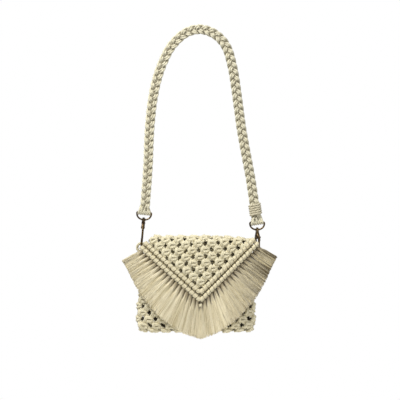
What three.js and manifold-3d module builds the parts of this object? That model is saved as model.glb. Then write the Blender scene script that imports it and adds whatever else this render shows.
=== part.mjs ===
// A macrame crossbody bag, hanging by its braided strap: a knotted cotton pouch under a pointed flap with a
// long brushed fringe, and a swivel clasp at each end of the strap.
// Millimetres, +Z up, the front faces -Y. The origin is where the bag hangs, inside the top of the strap's
// arch.
import * as THREE from 'three';
import { mergeVertices } from 'three/addons/utils/BufferGeometryUtils.js';
import Module from 'manifold-3d';

const wasm = await Module();
wasm.setup();

// Cord and net
const cordDiameter = 5;
const netWall = 9; // a square knot, three cords deep and pulled tight
const seamGap = 0.3; // between pieces that meet
const layGap = 0.8; // slack between the flap and the pouch under it
const knotPitch = 25; // width of one square knot of four cords
const gapWidth = 4.6; // the see-through gaps of the net
const gapHeight = 6.4;
const gapSides = 4;

// Pouch: half widths to the left and right of X = 0, and depth from front to back, by height above its bottom
const pouchBottom = -570;
const pouchSections = [
  { height: 0, left: 103, right: 94, depth: 14 },
  { height: 5, left: 115, right: 102, depth: 28 },
  { height: 16, left: 123, right: 106, depth: 40 },
  { height: 40, left: 122, right: 106, depth: 47 },
  { height: 80, left: 117.5, right: 104.8, depth: 50 },
  { height: 120, left: 110, right: 102.5, depth: 46 },
  { height: 145, left: 104.5, right: 99.5, depth: 40 },
  { height: 166, left: 100.5, right: 97, depth: 34 },
];
const pouchWidest = 80; // height of the deepest section, below which the flap and fringe hang straight
const pouchFloor = 11;
const pouchSquareness = 2.6; // exponent of the lens section across its width
const pouchSides = 24;
const pouchGapRows = 6;
const pouchGapFirst = 26;
const pouchGapStep = 21;
const pouchGapReach = 0.78; // share of the half width that is cut through

// Flap: carries on from the back wall, over the mouth and down the front to a point
const flapMiddle = 0;
const flapHalfBack = 97;
const flapHalfFront = 104;
const flapRise = 15.5; // of the fold's middle surface above the mouth, in the middle and at its ends
const flapRiseEnd = 8.5;
const flapEdgeTop = 0.9; // how far up the fold's end the front edge starts, as a share of that rise
const flapColumns = 22;
const flapSteps = 13;
const foldSteps = 24; // straight stretches that stand for the fold's curve
const flapEdgeFall = 0.22; // how far the flap falls back at the pouch's sides, as a share of its depth
const flapGapRows = 6;
const flapGapFirst = -410;
const flapGapStep = 12;
const flapGapMargin = 5;

// Ribs: two rows of double half hitches along the flap's point, given by the outer row's centre line
const ribLeft = { x: -110, z: -409 };
const ribTip = { x: 1, z: -508 };
const ribRight = { x: 108.5, z: -402 };
const ribDiameter = 10.6;
const ribWaist = 9.2; // between two hitches
const ribPitch = 11; // from row to row
const ribProud = 0.9;
const hitchPitch = 8.6;
const ribSides = 6;
const ribTipClear = 7;

// Fringe: fall below the horizontal, length and thickness of the locks by their share of the way to the tip
const fringeRows = [
  { share: 0, fall: 36, length: 39 },
  { share: 0.15, fall: 33, length: 47 },
  { share: 0.33, fall: 37, length: 58 },
  { share: 0.5, fall: 45, length: 66 },
  { share: 0.67, fall: 60, length: 71 },
  { share: 0.85, fall: 77, length: 74 },
  { share: 1, fall: 90, length: 66 },
];
const fringeLocks = 17; // on each side
const fringeSteps = 3;
const fringeThickRoot = 8;
const fringeThickTip = 3.4;
const fringeValleyRoot = 0.55; // thickness between two locks, as a share of a lock's
const fringeValleyTip = 0.8;
const fringeUneven = 2.2; // by which the middle of a lock is longer than its edges

// Strap: a flat braid, whose middle line runs from the left clasp over the arch to the right one
const strapRoute = [
  { x: -104.6, z: -325 },
  { x: -101.7, z: -292.3 },
  { x: -98.7, z: -250.3 },
  { x: -95.8, z: -183.5 },
  { x: -89.9, z: -126.2 },
  { x: -82.2, z: -88 },
  { x: -73.4, z: -61.3 },
  { x: -59.6, z: -31.9 },
  { x: -45.6, z: -13.4 },
  { x: -26, z: 2.6 },
  { x: -0.6, z: 9.3 },
  { x: 23.6, z: 3 },
  { x: 41.8, z: -11.4 },
  { x: 52.6, z: -28.6 },
  { x: 61, z: -57.5 },
  { x: 65.8, z: -82.3 },
  { x: 73, z: -133.8 },
  { x: 79.8, z: -183.5 },
  { x: 88, z: -229 },
  { x: 96.2, z: -273 },
  { x: 102.2, z: -312 },
  { x: 106.4, z: -340 },
];
const strapWidth = 17.6;
const strapThickness = 11;
const strapSquareness = 2.5;
const braidPitch = 13.2; // of the crossings along one edge
const braidRelief = 0.7;
const strapLevels = 88;
const strapSides = 8;
// The end folds round the clasp's bar: width and thickness by distance above the bar
const strapEndTurn = 7.4;
const strapEndRows = [
  { distance: -strapEndTurn, width: 17, thickness: 4 },
  { distance: -5.4, width: 21.5, thickness: 10 },
  { distance: 0, width: 22.6, thickness: 14.6 },
  { distance: 9, width: 21.4, thickness: 14 },
  { distance: 24, width: strapWidth + 1, thickness: 12 },
  { distance: 40, width: strapWidth, thickness: strapThickness },
];

// Binding: cord whipped round the strap's right end, above the fold
const bindingStart = 13;
const bindingTurns = 5;
const bindingTurn = 4.4;
const bindingThickness = 3;
const bindingGroove = 1.8; // thickness between two turns
const bindingSides = 12;

// Clasps: bar centres where the strap's ends turn
const clasps = [
  { side: 'left', bar: { x: -106.7, z: -341 }, turn: 90 },
  { side: 'right', bar: { x: 109.4, z: -360 }, turn: 68 },
];
const wireRadius = 1.6;
const wireSides = 6;
const barHalf = 11.6;
const loopHalf = 13.9;
const loopHeight = 14.4; // from the bar to the swivel
const loopCorner = 2.3;
const loopSteps = 30;
const runGap = 0.4; // running clearance of the swivel and of the gate
const bossRadius = 3.7;
const bossHeight = 4.8;
const pinRadius = 1.5;
const headRadius = 2.7;
const headHeight = 1.7;
const shoulderRadius = 3.5;
const shoulderHeight = 4.2;
const bodyHeight = 10.5;
const bodyHalfTop = 4;
const bodyHalfFoot = 9.3;
const bodyThickness = 6.4;
const bowRadius = 7.4; // centre line of the hook's round end
const bowCentre = -42.2;
const hookRadius = 1.9;
const noseTip = -34.2;
const noseRadius = 1.4;
const gateThickness = 3;
const gateEye = 2.5;
const gatePin = 0.9;
const gatePivot = { x: 6.7, z: -14.4 };
const gateHalf = 1.5;
const gateSlot = 4.4; // from the pivot to the back of the slot, for the open gate
const gateThumb = { x: 11.2, z: -19.4, half: 1.7 };
const roundSides = 12;

// Side loops: a ring of cord tied to each side of the pouch, in which the clasp is hooked
const sideLoopRadius = 8;
const sideLoopSides = 7;
const sideLoopSteps = 16;

const cotton = new THREE.MeshStandardMaterial({ color: 0xddd3b4, roughness: 0.95, metalness: 0 });
const ribCotton = new THREE.MeshStandardMaterial({ color: 0xd8cdaa, roughness: 0.95, metalness: 0 });
const brushedCotton = new THREE.MeshStandardMaterial({ color: 0xcfc5a4, roughness: 0.98, metalness: 0 });
const braidCotton = new THREE.MeshStandardMaterial({ color: 0xd3c9a6, roughness: 0.95, metalness: 0 });
const antiqueBrass = new THREE.MeshStandardMaterial({ color: 0x7a6544, roughness: 0.38, metalness: 0.95 });

const { lerp, degToRad, clamp } = THREE.MathUtils;
const vector = (x, y, z) => new THREE.Vector3(x, y, z);

// The value of a column at a place between two rows of a table, whose key column rises
function between(rows, key, at, column) {
  const next = rows.findIndex((row) => row[key] >= at);
  if (next === 0) return rows[0][column];
  if (next === -1) return rows.at(-1)[column];
  const low = rows[next - 1];
  const high = rows[next];
  return lerp(low[column], high[column], (at - low[key]) / (high[key] - low[key]));
}

// Moves every vertex of a geometry to its place, and joins the vertices that then coincide
function reshape(geometry, place) {
  const position = geometry.attributes.position;
  const vertex = new THREE.Vector3();
  for (let i = 0; i < position.count; i += 1) {
    vertex.fromBufferAttribute(position, i);
    const placed = place(vertex);
    position.setXYZ(i, placed.x, placed.y, placed.z);
  }
  geometry.deleteAttribute('normal');
  geometry.deleteAttribute('uv');
  return mergeVertices(geometry, 1e-3);
}

// A closed body through levels of one section: place(level, angle, reach) with reach 0 in the middle of an end
function loft(levels, sides, place) {
  const barrel = new THREE.CylinderGeometry(1, 1, levels - 1, sides, levels - 1);
  return reshape(barrel, ({ x, y, z }) => {
    const level = Math.round(y + (levels - 1) / 2);
    return place(level, Math.atan2(z, x), Math.round(Math.hypot(x, z)));
  });
}

// A point of a superellipse, round across its depth and squarer across its width
function lens(angle, halfWidth, halfDepth, squareness) {
  const c = Math.cos(angle);
  const s = Math.sin(angle);
  return {
    across: halfWidth * Math.sign(c) * Math.abs(c) ** (2 / squareness),
    deep: halfDepth * s,
  };
}

// A closed tube along a line of places, each with its tangent, its outward direction and its half sizes
function tube(places, sides, squareness) {
  return loft(places.length, sides, (level, angle, reach) => {
    const { point, tangent, outward, halfOut, halfSide } = places[level];
    const side = vector(0, 0, 0).crossVectors(outward, tangent).normalize();
    const { across, deep } = lens(angle, halfOut, halfSide, squareness);
    return point.clone().addScaledVector(outward, across * reach).addScaledVector(side, deep * reach);
  });
}

function solidOf(geometry) {
  const bare = geometry.clone();
  bare.deleteAttribute('normal');
  bare.deleteAttribute('uv');
  const { attributes, index } = mergeVertices(bare, 1e-3);
  const triVerts = new Uint32Array(index.array);
  return new wasm.Manifold(
    new wasm.Mesh({ numProp: 3, vertProperties: attributes.position.array, triVerts }),
  );
}

function geometryOf(solid) {
  const { vertProperties, triVerts } = solid.getMesh();
  const geometry = new THREE.BufferGeometry();
  geometry.setAttribute('position', new THREE.BufferAttribute(vertProperties, 3));
  geometry.setIndex(new THREE.BufferAttribute(triVerts, 1));
  return geometry;
}

function join(geometries) {
  return geometries.map(solidOf).reduce((whole, piece) => whole.add(piece));
}

function cut(solid, geometries) {
  return geometries.map(solidOf).reduce((whole, tool) => whole.subtract(tool), solid);
}

function meshOf(name, geometry, material) {
  geometry.computeVertexNormals();
  const mesh = new THREE.Mesh(geometry, material);
  mesh.name = name;
  return mesh;
}

// Pouch section at a height of the frame
function pouchAt(z) {
  const height = z - pouchBottom;
  const left = between(pouchSections, 'height', height, 'left');
  const right = between(pouchSections, 'height', height, 'right');
  const depth = between(pouchSections, 'height', height, 'depth');
  return { middle: (right - left) / 2, halfWidth: (right + left) / 2, halfDepth: depth / 2 };
}

const mouthZ = pouchBottom + pouchSections.at(-1).height;
const foldBase = mouthZ + seamGap;
const netEdge = ribPitch + ribDiameter / 2 + 2 * seamGap; // from the outer rib's middle to the net
const foldEdge = foldBase + flapEdgeTop * flapRiseEnd; // highest place of the net's front edge

// Depth of the pouch's outer face at a place of its back wall
function pouchDepth(x, z) {
  const { middle, halfWidth, halfDepth } = pouchAt(z);
  const across = Math.min(1, Math.abs(x - middle) / halfWidth);
  return halfDepth * Math.sqrt(1 - across ** pouchSquareness);
}

// Depth in front of which the flap and the fringe lie: they fall back a little at the sides, and hang plumb
// below the pouch's deepest section
function coverDepth(x, z) {
  const { middle, halfWidth, halfDepth } = pouchAt(clamp(z, pouchBottom + pouchWidest, mouthZ));
  const across = Math.abs(x - middle) / halfWidth;
  return halfDepth * (1 - flapEdgeFall * across ** 3) + layGap;
}

function pouchBody(inset, fromHeight, toHeight) {
  const inside = pouchSections.map((row) => row.height);
  const heights = [fromHeight, ...inside.filter((h) => h > fromHeight && h < toHeight), toHeight];
  return loft(heights.length, pouchSides, (level, angle, reach) => {
    const z = pouchBottom + heights[level];
    const { middle, halfWidth, halfDepth } = pouchAt(z);
    const { across, deep } = lens(angle, halfWidth - inset, halfDepth - inset, pouchSquareness);
    return vector(middle + across * reach, -deep * reach, z);
  });
}

// A diamond-shaped gap through the net along Y
function netGap(x, z, fromY, toY) {
  const gap = new THREE.CylinderGeometry(1, 1, toY - fromY, gapSides);
  gap.scale(gapWidth / 2, 1, gapHeight / 2);
  gap.translate(x, (fromY + toY) / 2, z);
  return gap;
}

function pouchGaps() {
  const gaps = [];
  for (let row = 0; row < pouchGapRows; row += 1) {
    const z = pouchBottom + pouchGapFirst + row * pouchGapStep;
    const { middle, halfWidth, halfDepth } = pouchAt(z);
    const reach = halfWidth * pouchGapReach;
    const first = Math.ceil(-reach / knotPitch - row / 2) + row / 2;
    for (let x = first * knotPitch; x <= reach; x += knotPitch) {
      gaps.push(netGap(middle + x, z, -halfDepth - 1, halfDepth + 1));
    }
  }
  return gaps;
}

function pouch() {
  const mouth = pouchSections.at(-1).height;
  const outer = solidOf(pouchBody(0, 0, mouth));
  const hollow = pouchBody(netWall, pouchFloor, mouth + netWall);
  return geometryOf(cut(outer, [hollow, ...pouchGaps()]));
}

// The point's outline, moved towards the net by an offset: two lines that meet below the tip
function pointLine(offset) {
  const side = (end) => {
    const run = new THREE.Vector2(ribTip.x - end.x, ribTip.z - end.z).normalize();
    const inward = new THREE.Vector2(Math.abs(run.y), Math.abs(run.x));
    inward.x *= Math.sign(run.x);
    const start = new THREE.Vector2(end.x, end.z).addScaledVector(inward, offset);
    return { start, slope: run.y / run.x };
  };
  const left = side(ribLeft);
  const right = side(ribRight);
  const rise = right.start.y - left.start.y + left.slope * left.start.x - right.slope * right.start.x;
  const tipX = rise / (left.slope - right.slope);
  const tip = new THREE.Vector2(tipX, left.start.y + left.slope * (tipX - left.start.x));
  const heightAt = (x) => {
    const { start, slope } = x < tipX ? left : right;
    return start.y + slope * (x - start.x);
  };
  return { left: left.start, tip, right: right.start, heightAt };
}

function foldAt(x) {
  const share = Math.min(1, Math.abs(x - flapMiddle) / flapHalfFront);
  const back = Math.max(netWall / 4, pouchDepth(x, mouthZ) - netWall / 2);
  const front = -coverDepth(x, foldBase) - netWall / 2;
  const rise = lerp(flapRise, flapRiseEnd, share ** 2);
  return { middleY: (back + front) / 2, half: (back - front) / 2, rise };
}

// Middle surface of the flap's front, also round the front half of its fold
function flapFrontY(x, z) {
  if (z <= foldBase) return -coverDepth(x, z) - netWall / 2;
  const { middleY, half, rise } = foldAt(x);
  return middleY - half * Math.sqrt(1 - Math.min(flapEdgeTop, (z - foldBase) / rise) ** 2);
}

// One line of the flap from the back of its fold to its edge, as evenly spaced points
function flapColumn(share, edge) {
  const wide = 2 * share - 1;
  const frontX = flapMiddle + wide * flapHalfFront;
  const backX = flapMiddle + wide * flapHalfBack;
  const { middleY, half, rise } = foldAt(frontX);
  const endZ = Math.min(edge.heightAt(frontX), foldEdge);
  const lift = Math.max(0, (endZ - foldBase) / rise);
  const lastTurn = Math.PI - Math.asin(lift);
  const line = new THREE.CurvePath();
  const fold = [];
  for (let step = 0; step <= foldSteps; step += 1) {
    const turn = (lastTurn * step) / foldSteps;
    const x = lerp(backX, frontX, turn / Math.PI);
    fold.push(vector(x, middleY + half * Math.cos(turn), foldBase + rise * Math.sin(turn)));
  }
  for (let step = 0; step < foldSteps; step += 1) line.add(new THREE.LineCurve3(fold[step], fold[step + 1]));
  const frontSteps = Math.max(0, Math.ceil((foldBase - endZ) / knotPitch));
  for (let step = 0; step < frontSteps; step += 1) {
    const [from, to] = [step, step + 1].map((s) => lerp(foldBase, endZ, s / frontSteps));
    const at = (z) => vector(frontX, flapFrontY(frontX, z), z);
    line.add(new THREE.LineCurve3(at(from), at(to)));
  }
  return line.getSpacedPoints(flapSteps);
}

function flap() {
  const edge = pointLine(netEdge);
  const lines = [];
  for (let i = 0; i <= flapColumns; i += 1) lines.push(flapColumn(i / flapColumns, edge));
  const at = (i, j) => lines[clamp(i, 0, flapColumns)][clamp(j, 0, flapSteps)];
  const sheet = new THREE.BoxGeometry(1, 1, 1, flapColumns, flapSteps, 1);
  const bent = reshape(sheet, ({ x, y, z }) => {
    const i = Math.round((x + 0.5) * flapColumns);
    const j = Math.round((0.5 - y) * flapSteps);
    const along = at(i + 1, j).clone().sub(at(i - 1, j));
    const run = j === 0 ? vector(0, 0, 1) : at(i, j + 1).clone().sub(at(i, j - 1));
    const outward = run.cross(along).normalize();
    return at(i, j).clone().addScaledVector(outward, z * netWall);
  });
  const inner = pointLine(netEdge + flapGapMargin + gapHeight / 2);
  const gaps = [];
  for (let row = 0; row < flapGapRows; row += 1) {
    const z = flapGapFirst - row * flapGapStep;
    const first = Math.ceil(-flapHalfBack / knotPitch - row / 2) + row / 2;
    for (let x = first * knotPitch; x <= flapHalfBack; x += knotPitch) {
      const middleY = flapFrontY(x, z);
      if (inner.heightAt(x) < z) gaps.push(netGap(x, z, middleY - netWall, middleY + netWall));
    }
  }
  return geometryOf(cut(solidOf(bent), gaps));
}

// A row of hitches along the point: thick at each hitch, and mitred at the tip. The inner row starts where the
// net's edge comes off the fold
function rib(offset) {
  const { left, tip, right } = pointLine(offset);
  if (offset > 0) {
    const edge = pointLine(netEdge);
    for (const [end, netEnd] of [[left, edge.left], [right, edge.right]]) {
      const drop = clamp((netEnd.y - foldEdge) / (netEnd.y - edge.tip.y), 0, 1);
      end.lerp(tip, drop);
    }
  }
  const at = (point) => vector(point.x, flapFrontY(point.x, point.y) - ribProud, point.y);
  const arm = (end) => {
    const length = end.distanceTo(tip);
    const count = Math.floor((2 * (length - ribTipClear)) / hitchPitch);
    const half = [];
    for (let step = 0; step <= count; step += 1) {
      const share = (step * hitchPitch) / 2 / length;
      half.push({ point: at(end.clone().lerp(tip, share)), size: step % 2 ? ribWaist : ribDiameter });
    }
    return half;
  };
  const line = [...arm(left), { point: at(tip), size: ribDiameter }, ...arm(right).reverse()];
  const last = line.length - 1;
  const places = line.map(({ point, size }, k) => {
    const from = Math.max(0, k - 1);
    const to = Math.min(last, k + 1);
    const arrive = line[Math.max(1, k)].point.clone().sub(line[from].point).normalize();
    const leave = line[to].point.clone().sub(line[Math.min(last - 1, k)].point).normalize();
    const tangent = arrive.clone().add(leave).normalize();
    const mitre = tangent.dot(leave);
    const outward = vector(0, -1, 0).addScaledVector(tangent, tangent.y).normalize();
    return { point, tangent, outward, halfOut: size / 2, halfSide: size / 2 / mitre };
  });
  return tube(places, ribSides, 2);
}

// Locks side by side along the point, each thick in its middle and thin at its edges, fused at their roots
function fringe() {
  const { left, tip, right } = pointLine(-ribDiameter / 2 - seamGap);
  const columns = 4 * fringeLocks;
  const sheet = new THREE.BoxGeometry(1, 1, 1, columns, fringeSteps, 1);
  return reshape(sheet, ({ x, y, z }) => {
    const column = Math.round((x + 0.5) * columns);
    const down = 0.5 - y;
    const end = x < 0 ? left : right;
    const share = 1 - Math.abs(2 * x);
    const root = end.clone().lerp(tip, share);
    const fall = degToRad(between(fringeRows, 'share', share, 'fall'));
    const inLock = column % 2 === 1;
    const uneven = inLock ? fringeUneven : -fringeUneven;
    const length = (between(fringeRows, 'share', share, 'length') + uneven) * down;
    const placeX = root.x + Math.sign(x) * Math.cos(fall) * length;
    const placeZ = root.y - Math.sin(fall) * length;
    const full = lerp(fringeThickRoot, fringeThickTip, down);
    const thickness = inLock ? full : full * lerp(fringeValleyRoot, fringeValleyTip, down);
    return vector(placeX, -coverDepth(placeX, placeZ) - (z + 0.5) * thickness, placeZ);
  });
}

// The strap's middle line, carried on past both bars by the turn of its folded ends
function strapLine() {
  const [left, right] = clasps.map(({ bar }) => vector(bar.x, 0, bar.z));
  const route = strapRoute.map(({ x, z }) => vector(x, 0, z));
  const past = (bar, from) => bar.clone().addScaledVector(bar.clone().sub(from).normalize(), strapEndTurn);
  const first = past(left, route[0]);
  const last = past(right, route.at(-1));
  return new THREE.CatmullRomCurve3([first, left, ...route, right, last], false, 'centripetal');
}

const strapCurve = strapLine();
strapCurve.arcLengthDivisions = 1000;
const strapLength = strapCurve.getLength();

// A place on the strap's middle line, its section widened by a sleeve's thickness
function strapPlace(distance, sleeve) {
  const share = distance / strapLength;
  const tangent = strapCurve.getTangentAt(share);
  const above = Math.min(distance, strapLength - distance) - strapEndTurn;
  const width = between(strapEndRows, 'distance', above, 'width');
  const thickness = between(strapEndRows, 'distance', above, 'thickness');
  return {
    point: strapCurve.getPointAt(share),
    tangent,
    outward: vector(-tangent.z, 0, tangent.x),
    halfOut: width / 2 + sleeve,
    halfSide: thickness / 2 + sleeve,
  };
}

function endLevels() {
  return strapEndRows.map((row) => row.distance + strapEndTurn);
}

// The folded end's eye for the clasp's bar
function barHole({ bar }) {
  const lean = claspLean(bar);
  const hole = new THREE.CylinderGeometry(wireRadius + runGap, wireRadius + runGap, 4 * barHalf, roundSides);
  hole.rotateZ(Math.PI / 2);
  hole.rotateY(lean);
  hole.translate(bar.x, 0, bar.z);
  return hole;
}

function strap() {
  const ends = endLevels();
  const inner = ends.at(-1);
  const middle = [];
  for (let step = 1; step < strapLevels; step += 1) {
    middle.push(lerp(inner, strapLength - inner, step / strapLevels));
  }
  const distances = [...ends, ...middle, ...ends.map((d) => strapLength - d).reverse()];
  const places = distances.map((distance, level) => {
    const place = strapPlace(distance, 0);
    const braided = level >= ends.length && level < distances.length - ends.length;
    const shift = braided ? braidRelief * Math.sin((2 * Math.PI * distance) / braidPitch) : 0;
    place.point.addScaledVector(place.outward, shift);
    return place;
  });
  const body = solidOf(tube(places, strapSides, strapSquareness));
  return geometryOf(cut(body, clasps.map(barHole)));
}

// Turns of cord whipped round the strap's right end: a sleeve with a ridge for each turn
function binding() {
  const from = strapLength - strapEndTurn - bindingStart;
  const levels = 2 * bindingTurns + 1;
  const ridge = (level) => (level % 2 ? bindingThickness : bindingGroove);
  const at = (level) => from - (level * bindingTurn) / 2;
  const outer = [];
  for (let level = levels - 1; level >= 0; level -= 1) outer.push(strapPlace(at(level), ridge(level)));
  const bore = [levels, levels / 2, -1];
  const hollow = bore.map((level) => strapPlace(at(level), seamGap + braidRelief));
  const sleeve = solidOf(tube(outer, bindingSides, strapSquareness));
  return geometryOf(cut(sleeve, [tube(hollow, bindingSides, strapSquareness)]));
}

const bowBottom = bowCentre - bowRadius;
const claspLength = loopHeight - bowBottom;

// The pouch's outermost edge on one side, as a distance from X = 0
function pouchReach(side, z) {
  const { middle, halfWidth } = pouchAt(z);
  return side === 'left' ? halfWidth - middle : halfWidth + middle;
}

// Centre of the cord ring tied to the pouch's side, below the hook that hangs in it
function sideLoopCentre({ side, bar }) {
  const z = bar.z - claspLength + hookRadius + seamGap + cordDiameter / 2 - sideLoopRadius;
  const slope = (pouchReach(side, z + 1) - pouchReach(side, z - 1)) / 2;
  const outer = sideLoopRadius + cordDiameter / 2 + seamGap;
  const reach = pouchReach(side, z) + outer * Math.hypot(1, slope);
  return vector(side === 'left' ? -reach : reach, 0, z);
}

function claspLean(bar) {
  const clasp = clasps.find((one) => one.bar === bar);
  return Math.atan2(bar.x - sideLoopCentre(clasp).x, claspLength);
}

function cylinder(topRadius, footRadius, top, foot) {
  const piece = new THREE.CylinderGeometry(topRadius, footRadius, top - foot, roundSides);
  piece.rotateX(Math.PI / 2);
  return piece.translate(0, 0, (top + foot) / 2);
}

// The clasp's oval eye for the strap, with the swivel's drilled boss below it; z is 0 at the boss
function claspLoop() {
  const line = new THREE.Path();
  line.moveTo(0, loopHeight);
  line.lineTo(barHalf, loopHeight);
  line.absarc(barHalf, loopHeight - loopCorner, loopCorner, Math.PI / 2, 0, true);
  line.bezierCurveTo(loopHalf, loopHeight * 0.35, loopHalf * 0.6, 0, 0, 0);
  line.bezierCurveTo(-loopHalf * 0.6, 0, -loopHalf, loopHeight * 0.35, -loopHalf, loopHeight - loopCorner);
  line.absarc(-barHalf, loopHeight - loopCorner, loopCorner, Math.PI, Math.PI / 2, true);
  line.lineTo(0, loopHeight);
  const ring = new THREE.TorusGeometry(2, 1, wireSides, loopSteps);
  const wire = reshape(ring, ({ x, y, z }) => {
    const share = THREE.MathUtils.euclideanModulo(-Math.atan2(y, x) / (2 * Math.PI), 1);
    const step = (Math.round(share * loopSteps) % loopSteps) / loopSteps;
    const point = line.getPointAt(step);
    const tangent = line.getTangentAt(step);
    const outward = (Math.hypot(x, y) - 2) * wireRadius;
    return vector(point.x - tangent.y * outward, -z * wireRadius, point.y + tangent.x * outward);
  });
  const boss = cylinder(bossRadius, bossRadius, bossHeight / 2, -bossHeight / 2);
  const bore = cylinder(pinRadius + runGap, pinRadius + runGap, bossHeight, -bossHeight);
  return geometryOf(cut(join([wire, boss]), [bore]));
}

// The hook's J: down the spine, round the bow and up to the nose
function hookBar() {
  const spineTop = -bossHeight / 2 - runGap - shoulderHeight - bodyHeight * 0.6;
  const stations = [{ x: -bowRadius, z: spineTop }];
  const turns = 10;
  for (let step = 0; step <= turns; step += 1) {
    const turn = Math.PI * (1 + step / turns);
    stations.push({ x: bowRadius * Math.cos(turn), z: bowCentre + bowRadius * Math.sin(turn) });
  }
  stations.push({ x: bowRadius, z: noseTip });
  const last = stations.length - 1;
  const places = stations.map(({ x, z }, k) => {
    const before = stations[Math.max(0, k - 1)];
    const after = stations[Math.min(last, k + 1)];
    const tangent = vector(after.x - before.x, 0, after.z - before.z).normalize();
    const radius = k === last ? noseRadius : hookRadius;
    const outward = vector(-tangent.z, 0, tangent.x);
    return { point: vector(x, 0, z), tangent, outward, halfOut: radius, halfSide: radius };
  });
  return tube(places, wireSides, 2);
}

function acrossPin(radius, length) {
  const pin = new THREE.CylinderGeometry(radius, radius, length, roundSides);
  return pin.translate(gatePivot.x, 0, gatePivot.z);
}

// The swivel hook: headed pin, shoulder, body with a slot for the gate, and the bow
function claspHook() {
  const shoulderTop = -bossHeight / 2 - runGap;
  const shoulderFoot = shoulderTop - shoulderHeight;
  const bodyFoot = shoulderFoot - bodyHeight;
  const headFoot = bossHeight / 2 + runGap;
  const pin = cylinder(pinRadius, pinRadius, headFoot + headHeight / 2, shoulderTop - 1);
  const head = cylinder(headRadius, headRadius, headFoot + headHeight, headFoot);
  const shoulder = cylinder(shoulderRadius, bodyHalfTop, shoulderTop, shoulderFoot - 0.5);
  const body = new THREE.BoxGeometry(1, bodyThickness, bodyHeight, 1, 1, 3);
  const tapered = reshape(body, ({ x, y, z }) => {
    const down = 0.5 - z / bodyHeight;
    const half = lerp(bodyHalfTop, bodyHalfFoot, Math.sin((down * Math.PI) / 2));
    return vector(2 * x * half, y, z + (shoulderFoot + bodyFoot) / 2);
  });
  const slotWidth = gateThickness + 2 * runGap;
  const slot = new THREE.BoxGeometry(bodyHalfFoot + 2, slotWidth, bodyHeight);
  const slotTop = gatePivot.z + gateEye + runGap;
  slot.translate(gatePivot.x - gateSlot + bodyHalfFoot / 2 + 1, 0, slotTop - bodyHeight / 2);
  const slotted = cut(join([tapered, shoulder, pin, head]), [slot]);
  const rivet = solidOf(acrossPin(gatePin, bodyThickness));
  return geometryOf(slotted.add(rivet).add(solidOf(hookBar())));
}

// The sprung gate: an eye on the rivet, an arm down to the nose and a thumb piece outside
function claspGate() {
  const outline = new THREE.Shape();
  const tipX = bowRadius;
  const tipZ = noseTip + runGap;
  outline.absarc(gatePivot.x, gatePivot.z, gateEye, Math.PI, 0, true);
  outline.lineTo(gateThumb.x, gateThumb.z + gateThumb.half);
  outline.lineTo(gateThumb.x, gateThumb.z - gateThumb.half);
  outline.lineTo(tipX + gateHalf, gateThumb.z - 2 * gateThumb.half);
  outline.lineTo(tipX + gateHalf, tipZ);
  outline.lineTo(tipX - gateHalf, tipZ);
  const flat = { depth: gateThickness, bevelEnabled: false, curveSegments: 10 };
  const plate = new THREE.ExtrudeGeometry(outline, flat);
  plate.rotateX(Math.PI / 2);
  plate.translate(0, gateThickness / 2, 0);
  return geometryOf(cut(solidOf(plate), [acrossPin(gatePin + runGap, 2 * gateThickness)]));
}

// Each clasp hangs from its bar; the hook is turned on its swivel and carries the gate
function clasp({ side, bar, turn }) {
  const eye = meshOf(`clasp_loop_${side}`, claspLoop(), antiqueBrass);
  const hook = meshOf(`clasp_hook_${side}`, claspHook(), antiqueBrass);
  const gate = meshOf(`clasp_gate_${side}`, claspGate(), antiqueBrass);
  const swivel = new THREE.Group();
  swivel.rotation.z = degToRad(-turn);
  swivel.add(hook, gate);
  const hanging = new THREE.Group();
  const lean = claspLean(bar);
  hanging.rotation.y = lean;
  hanging.position.set(bar.x - loopHeight * Math.sin(lean), 0, bar.z - loopHeight * Math.cos(lean));
  hanging.add(eye, swivel);
  return hanging;
}

function sideLoop(one) {
  const ring = new THREE.TorusGeometry(sideLoopRadius, cordDiameter / 2, sideLoopSides, sideLoopSteps);
  const loop = meshOf(`side_loop_${one.side}`, ring, cotton);
  loop.rotation.x = Math.PI / 2;
  loop.position.copy(sideLoopCentre(one));
  return loop;
}

const bag = new THREE.Group();
bag.add(
  meshOf('pouch', pouch(), cotton),
  meshOf('flap', flap(), cotton),
  meshOf('rib_inner', rib(ribPitch), ribCotton),
  meshOf('rib_outer', rib(0), ribCotton),
  meshOf('fringe', fringe(), brushedCotton),
  meshOf('strap', strap(), braidCotton),
  meshOf('strap_binding', binding(), braidCotton),
);
for (const one of clasps) bag.add(sideLoop(one), clasp(one));

export default bag;
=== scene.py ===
import math

import bmesh
import bpy
from mathutils import Matrix, Vector


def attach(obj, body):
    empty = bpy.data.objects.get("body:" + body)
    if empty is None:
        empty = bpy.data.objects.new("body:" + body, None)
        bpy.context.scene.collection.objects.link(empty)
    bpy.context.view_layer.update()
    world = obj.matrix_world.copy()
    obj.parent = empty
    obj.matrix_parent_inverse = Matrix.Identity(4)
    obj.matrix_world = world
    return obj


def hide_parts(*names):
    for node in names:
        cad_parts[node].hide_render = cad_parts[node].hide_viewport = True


# A macrame crossbody bag in ecru cotton, hanging by its braided strap. Sizes are in millimetres
# and become metres where a mesh is made. The front faces -Y.
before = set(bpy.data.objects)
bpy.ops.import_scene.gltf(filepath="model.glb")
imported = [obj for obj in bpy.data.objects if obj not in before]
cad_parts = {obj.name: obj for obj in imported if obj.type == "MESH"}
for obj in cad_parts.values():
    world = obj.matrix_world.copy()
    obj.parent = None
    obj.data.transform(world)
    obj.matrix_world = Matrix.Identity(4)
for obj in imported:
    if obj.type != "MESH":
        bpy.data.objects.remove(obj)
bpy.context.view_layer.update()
scene = bpy.context.scene
mm = 0.001
print("frame loaded with", len(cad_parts), "solids")


# Small tools

def linear(hexText):
    # sRGB hex to the linear colour that sockets take
    parts = [int(hexText[i:i + 2], 16) / 255 for i in (0, 2, 4)]
    return tuple(c / 12.92 if c <= 0.04045 else ((c + 0.055) / 1.055) ** 2.4 for c in parts) + (1.0,)


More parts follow.
